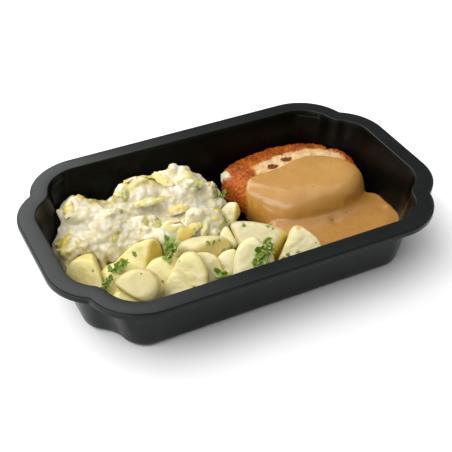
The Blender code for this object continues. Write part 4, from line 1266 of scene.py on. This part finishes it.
def foldedCore():
    # the frame's heap with a fine, even skin, then folds and a few bulges
    core = placeMesh("creamedLeeks", frame["nodes"]["leek_heap"].data.copy())
    work = bmesh.new()
    work.from_mesh(core.data)
    bmesh.ops.remove_doubles(work, verts=work.verts, dist=0.00001)
    work.to_mesh(core.data)
    work.free()
    voxelSkin(core, heap["voxel"])
    relax(core, heap["smoothing"])
    points, normals = pointsOf(core), normalsOf(core)
    spin = math.radians(heap["foldHeading"])
    c, s = math.cos(spin), math.sin(spin)
    turned = points @ np.array([[c, -s, 0], [s, c, 0], [0, 0, 1]])
    turned[:, 0] /= heap["foldStretch"]
    bend = np.stack([wobble(points, 14, seed, 2) for seed in (1.0, 5.0, 8.0)], -1) * 3.0
    folds = np.abs(wobble(turned + bend, heap["foldSize"], 2.0, 2)) * 2 - 0.55
    relief = heap["foldDepth"] * folds - heap["sink"] * np.clip((points[:, 2] - 15) / 9, 0, 1)
    for centre, radius, height in heap["bulges"]:
        near = np.linalg.norm(points - np.array(centre), axis=1) / radius
        relief += height * np.clip(1 - near ** 2, 0, 1)
    shown = np.clip((points[:, 2] - 4) / 5, 0, 1)
    movePoints(core, points + normals * (np.clip(relief, -1.4, 4.0) * shown)[:, None])
    return core, facingUp(points, normals)


def makeHeap(material):
    # strips of leek are scattered over the core and grow together with it
    core, facing = foldedCore()
    strips = joinThings("strips", [
        growGrains("strips", core, facing, coatedStrip(*heap["wideStrip"]), material, heap["wide"]),
        growGrains("strips", core, facing, coatedStrip(*heap["thinStrip"]), material, heap["thin"])])
    stripPoints, tints = pointsOf(strips), valuesOf(strips, "tint")
    near = kdtree.KDTree(len(stripPoints))
    for i, point in enumerate(stripPoints):
        near.insert(point, i)
    near.balance()
    whole = voxelSkin(joinThings("creamedLeeks", [core, strips]), heap["voxel"])
    relax(whole, heap["softening"])
    points, normals = pointsOf(whole), normalsOf(whole)
    lumps = np.abs(wobble(points, heap["lumpSize"], 5.0, 2)) * 2 - 0.5
    grains = wobble(points, heap["grainSize"], 6.0, 3)
    shown = np.clip((points[:, 2] - 4) / 5, 0, 1)
    moved = points + normals * ((heap["lumpDepth"] * lumps + heap["grainDepth"] * grains) * shown)[:, None]
    movePoints(whole, drawInside(np.array(heap["middle"]), moved, 0.3))
    relax(whole, 1, 0.4)
    found = [near.find(point) for point in points]
    tint = tints[[one[1] for one in found]]
    apart = np.array([one[2] for one in found])
    # painted shade mask: the low spots between the lumps
    setValues(whole, "hollowShade", np.clip(0.3 - 1.6 * lumps, 0, 1))
    setValues(whole, "leek", np.clip(1.5 - apart, 0, 1) * np.clip((tint - 0.5) * 5, 0, 1))
    setValues(whole, "hue", np.mod(tint * 37.0, 1.0))
    return whole


def leekSheet(centre, heading, facing, length, width, tint, seed, rows=25, columns=11):
    # curved leaf with tapered, ragged ends and a ruffled edge
    along = Vector(aim(*heading))
    out = Vector(aim(*facing))
    out = (out - along * out.dot(along)).normalized()
    across = out.cross(along)
    points, tints, coords = [], [], []
    for s in np.linspace(-1, 1, rows):
        narrow = 1 - (0.45 if s > 0 else 0.15) * s * s + 0.3 * noise.noise(Vector((s * 2.5, seed, 0)))
        for t in np.linspace(-1, 1, columns):
            rag = 1 + 0.16 * noise.noise(Vector((t * 3, seed, 4))) * abs(s)
            ruffle = 0.35 * abs(t) ** 3 * math.sin(9 * s + seed)
            dip = 0.08 * length * s * s + 0.16 * width * t * t * narrow
            dip -= 0.45 * noise.noise(Vector((s * 3.2, t * 1.2, seed))) + ruffle
            spot = Vector(centre) + along * (s * rag * length / 2) + across * (t * narrow * width / 2)
            points.append(spot - out * (dip - heap["leafLift"]))
            tints.append(tint + 0.12 * noise.noise(Vector((s * 1.7, t * 1.5, seed + 3))))
            coords.append((s * length / 20, t * width / 14))
    sheet = meshObject("leaf", points, gridFaces(rows, columns))
    setValues(sheet, "tint", tints)
    layer = sheet.data.uv_layers.new(name="UVMap")
    for loop in sheet.data.loops:
        layer.data[loop.index].uv = coords[loop.vertex_index]
    return thicken(sheet, heap["leafThickness"], even=True)


creamMaterial = creamFinish()
heapPiece = makeHeap(creamMaterial)
finishPiece(heapPiece, creamMaterial, ["leek_heap"])
sheets = [leekSheet(*values, seed=3.7 * i) for i, values in enumerate(leekStrips)]
finishPiece(joinThings("leekLeaves", sheets), leekFinish("leekLeaf", 0.25), sharp=60)
heapUp = facingUp(pointsOf(heapPiece), normalsOf(heapPiece))
heapGrain = lumpyGrain("heapGrain", (1.0, 0.8, 0.4))
scatterOn("heapSpecks", heapPiece, heapUp, heapGrain, speckMaterial, heap["specks"])
print("heap:", len(heapPiece.data.polygons), "faces")


# Parsley: ruffled leaflets, in sprigs where the frame has a leaf and as chopped bits on the potatoes

parsley = {
    "thickness": 0.32,
    "ruffle": 0.32,
    "perSprig": 4,
    "looseSpots": [((6, 22, 20.5), (250, 45)), ((0, 6, 15.5), (280, 40))],
    "dust": {"Density": 5200.0, "Seed": 3, "Smallest": 0.3, "Largest": 0.75, "Sink": 0.00002, "Lean": 0.25},
}

# sprig: facing (azimuth, rise), spread
sprigs = {
    "parsley_1": ((240, 50), 4.6),
    "parsley_2": ((240, 42), 4.6),
    "parsley_3": ((240, 42), 3.4),
    "parsley_4": ((228, 62), 4.2),
    "parsley_5": ((228, 50), 3.2),
    "parsley_6": ((243, 38), 3.4),
}

# chopped bits: potato, direction from its centre (azimuth, rise), size
choppedBits = [
    ("potato_2", 199, 59, 2.2), ("potato_5", 269, 17, 1.3), ("potato_7", 262, 59, 2.3),
    ("potato_7", 299, 56, 1.9), ("potato_7", 324, 9, 1.2), ("potato_7", 327, 46, 1.2),
    ("potato_10", 153, 40, 2.0), ("potato_10", 315, 58, 1.6), ("potato_10", 304, 45, 1.2),
    ("potato_12", 230, 16, 2.1), ("potato_12", 200, 2, 1.9), ("potato_9", 282, 7, 1.6),
    ("potato_6", 315, -13, 1.5), ("potato_8", 231, -11, 1.6), ("potato_15", 224, 10, 1.2),
    ("potato_1", 272, 56, 1.1), ("potato_3", 322, 85, 1.0), ("potato_12", 195, -4, 1.4),
]


def parsleyFinish():
    material, tree, shader = newFinish("parsleyLeaf", **{
        "Subsurface Weight": 0.2, "Subsurface Scale": 0.001, "Subsurface Radius": (0.5, 1.0, 0.2),
        "Specular IOR Level": 0.5, "Coat Weight": 0.2, "Coat Roughness": 0.2})
    patch = noiseOf(tree, 2.0, 3)
    green = blendColours(tree, ranged(tree, patch, 0.35, 0.65), srgb(90, 122, 26), srgb(126, 152, 58))
    # the leaflets turn lighter yellow-green toward their edges: partly the leaf's own edge colour, partly a
    # painted highlight
    rim = ranged(tree, valueOf(tree, "rim"), 0.6, 1.0, 0.0, 0.6)
    tint = ranged(tree, valueOf(tree, "tint"), 0.0, 1.0, 0.0, 0.35)
    edgedWithHighlight = blendColours(tree, rim, green, srgb(176, 182, 96))
    base = blendColours(tree, tint, edgedWithHighlight, srgb(70, 100, 14))
    tree.links.new(base, shader.inputs["Base Color"])
    tree.links.new(ranged(tree, patch, 0.3, 0.7, 0.3, 0.5), shader.inputs["Roughness"])
    addBump(tree, shader, noiseOf(tree, 0.5, 3), 0.5, 0.12)
    return material


def leaflet(centre, facing, turn, size, seed, rings=4, around=20):
    # cut-edged leaflet, folded along its middle and ruffled; seed sets its lobes and its fold
    out = Vector(facing).normalized()
    across = Matrix.Rotation(turn, 3, out) @ out.orthogonal().normalized()
    along = out.cross(across)
    lobes, fold = 3 + int(seed) % 4, 0.2 + 0.6 * (seed * 0.37 % 1)
    points, rim, faces = [Vector(centre)], [0.0], []
    for ring in range(1, rings + 1):
        r = ring / rings
        for i in range(around):
            a = 2 * math.pi * i / around
            uneven = noise.noise(Vector((math.cos(a), math.sin(a), seed)) * 1.7)
            ragged = 1 + 0.30 * r * math.cos(lobes * a + seed) + 0.45 * uneven
            reach = size * r * ragged * (0.72 + 0.28 * math.cos(a))
            x, y = math.cos(a) * reach, math.sin(a) * reach * 0.8
            lift = fold * abs(y) + size * parsley["ruffle"] * r * r * math.sin(lobes * a + 2 * seed)
            points.append(Vector(centre) + across * x + along * y + out * lift)
            rim.append(r)
    for i in range(around):
        faces.append((0, 1 + i, 1 + (i + 1) % around))
    faces += [tuple(1 + k for k in f) for f in ringFaces(around, rings, ends=False)]
    thing = meshObject("leaflet", points, faces)
    # rim, 0 at the middle and 1 at the edge, sets where the finish paints the lighter edge and its painted
    # highlight
    setValues(thing, "rim", rim)
    setValues(thing, "tint", [0.5 + 0.5 * math.sin(seed * 7)] * len(points))
    return faceOut(thicken(thing, parsley["thickness"]))


def makeSprig(name, facing, spread, material, rng):
    low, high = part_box(name)
    centre = np.array((low + high) / 2) / mm
    out = aim(*facing)
    sideways = np.cross(out, aim(0, 90))
    sideways = sideways / np.linalg.norm(sideways)
    upward = np.cross(sideways, out)
    slant = rng.uniform(0.6, 2.4)
    stem = sideways * math.cos(slant) + upward * math.sin(slant)
    leaves = []
    for place in np.linspace(-0.8, 0.8, parsley["perSprig"]):
        shift = stem * place * spread + np.cross(out, stem) * rng.uniform(-0.45, 0.45) * spread
        tilt = out + shift / spread * rng.uniform(-0.3, 0.7)
        leaves.append(leaflet(centre + shift + out * rng.uniform(-0.2, 0.5), tilt, rng.uniform(0, 6.3),
                              spread * rng.uniform(0.7, 1.05), rng.uniform(0, 20)))
    return finishPiece(joinThings(name + "_sprig", leaves), material, [name], sharp=60)


def makeChoppedBits(material, rng):
    leaves = []
    for name, azimuth, rise, size in choppedBits:
        piece = potatoes[name]
        around = np.array([aim(azimuth, rise), aim(azimuth + 4, rise), aim(azimuth, rise + 4)])
        a, b, c = piecePoints(piece, around, potato["rounding"])
        out = np.cross(b - a, c - a)
        out = out / np.linalg.norm(out)
        for _ in range(2):
            nudge = (b - a) / np.linalg.norm(b - a) * rng.uniform(-0.4, 0.4) * size
            leaves.append(leaflet(a + out * 0.25 + nudge, out + rng.normal(0, 0.25, 3), rng.uniform(0, 6.3),
                                  size * rng.uniform(0.5, 0.8), rng.uniform(0, 20), rings=3, around=15))
    for centre, facing in parsley["looseSpots"]:
        for _ in range(4):
            spot = np.array(centre) + rng.normal(0, 1.1, 3)
            lean = aim(*facing) + rng.normal(0, 0.4, 3)
            leaves.append(leaflet(spot, lean, rng.uniform(0, 6.3), rng.uniform(1.3, 2.0), rng.uniform(0, 20),
                                  rings=3, around=15))
    return finishPiece(joinThings("choppedParsley", leaves), material, sharp=60)


parsleyMaterial = parsleyFinish()
rng = np.random.default_rng(12)
for name, (facing, spread) in sprigs.items():
    makeSprig(name, facing, spread, parsleyMaterial, rng)
makeChoppedBits(parsleyMaterial, rng)
carrier = joinThings("dustCarrier", [placeMesh("dustCarrier", thing.data.copy()) for thing in potatoThings])
dustMask = (normalsOf(carrier)[:, 2] > 0.2) & (pointsOf(carrier)[:, 2] > 12)
dustGrain = lumpyGrain("dustGrain", (1.0, 0.6, 0.3))
scatterOn("parsleyDust", carrier, dustMask.astype(float), dustGrain, parsleyMaterial,
          parsley["dust"])
bpy.data.objects.remove(carrier)
print("parsley:", len(sprigs), "sprigs and", len(choppedBits), "chopped bits")


# Floor, light and camera

studio = {
    "cameraPlace": (-0.196, -0.39049, 0.35623),
    "azimuth": 26.34,
    "elevation": 37.88,
    "lens": 77.316,
    "sensor": 36.0,
    "floorHalf": 3000.0,
    "sky": 0.3,
    "key": {"place": (-0.344, 1.06, 1.004), "size": (1.5, 0.9), "power": 15.0},
    "overhead": {"place": (-0.3, 0.2, 1.6), "size": (3.0, 3.0), "power": 34.0},
    "fill": {"place": (-1.1, -0.35, 1.4), "size": (1.4, 1.0), "power": 17.5},
    "edge": {"place": (-1.2, -0.55, 0.3), "size": (0.6, 0.2), "power": 3.0},
}


def softbox(name, place, size, power):
    data = bpy.data.lights.new(name, "AREA")
    data.shape = "RECTANGLE"
    data.size, data.size_y = size
    data.energy = power
    light = bpy.data.objects.new(name, data)
    light.location = place
    light.rotation_euler = (-Vector(place)).to_track_quat("-Z", "Y").to_euler()
    bpy.context.scene.collection.objects.link(light)
    return light


def makeStudio():
    half = studio["floorHalf"]
    floor = meshObject("paleFloor", [(-half, -half, 0), (half, -half, 0), (half, half, 0), (-half, half, 0)],
                       [(0, 1, 2, 3)])
    material = newFinish("paleFloor", **{
        "Base Color": (0.93, 0.93, 0.93, 1), "Roughness": 0.8, "Specular IOR Level": 0.1})[0]
    floor.data.materials.append(material)
    world = bpy.data.worlds.new("softSky")
    world.use_nodes = True
    background = world.node_tree.nodes["Background"]
    background.inputs["Color"].default_value = (1.0, 1.0, 1.0, 1)
    background.inputs["Strength"].default_value = studio["sky"]
    bpy.context.scene.world = world
    softbox("keyBackLeft", **studio["key"])
    softbox("overhead", **studio["overhead"])
    softbox("fillLeft", **studio["fill"])
    softbox("edgeStrip", **studio["edge"])


def makeCamera():
    data = bpy.data.cameras.new("photoView")
    camera = bpy.data.objects.new("photoView", data)
    a, e = math.radians(studio["azimuth"]), math.radians(studio["elevation"])
    forward = Vector((math.sin(a) * math.cos(e), math.cos(a) * math.cos(e), -math.sin(e)))
    right = Vector((math.cos(a), -math.sin(a), 0))
    up = right.cross(forward)
    turn = Matrix((right, up, -forward)).transposed().to_4x4()
    camera.matrix_world = Matrix.Translation(studio["cameraPlace"]) @ turn
    data.lens = studio["lens"]
    data.sensor_width = studio["sensor"]
    bpy.context.scene.collection.objects.link(camera)
    bpy.context.scene.camera = camera


makeStudio()
makeCamera()
bpy.context.scene.view_settings.view_transform = "Standard"
print("studio done")
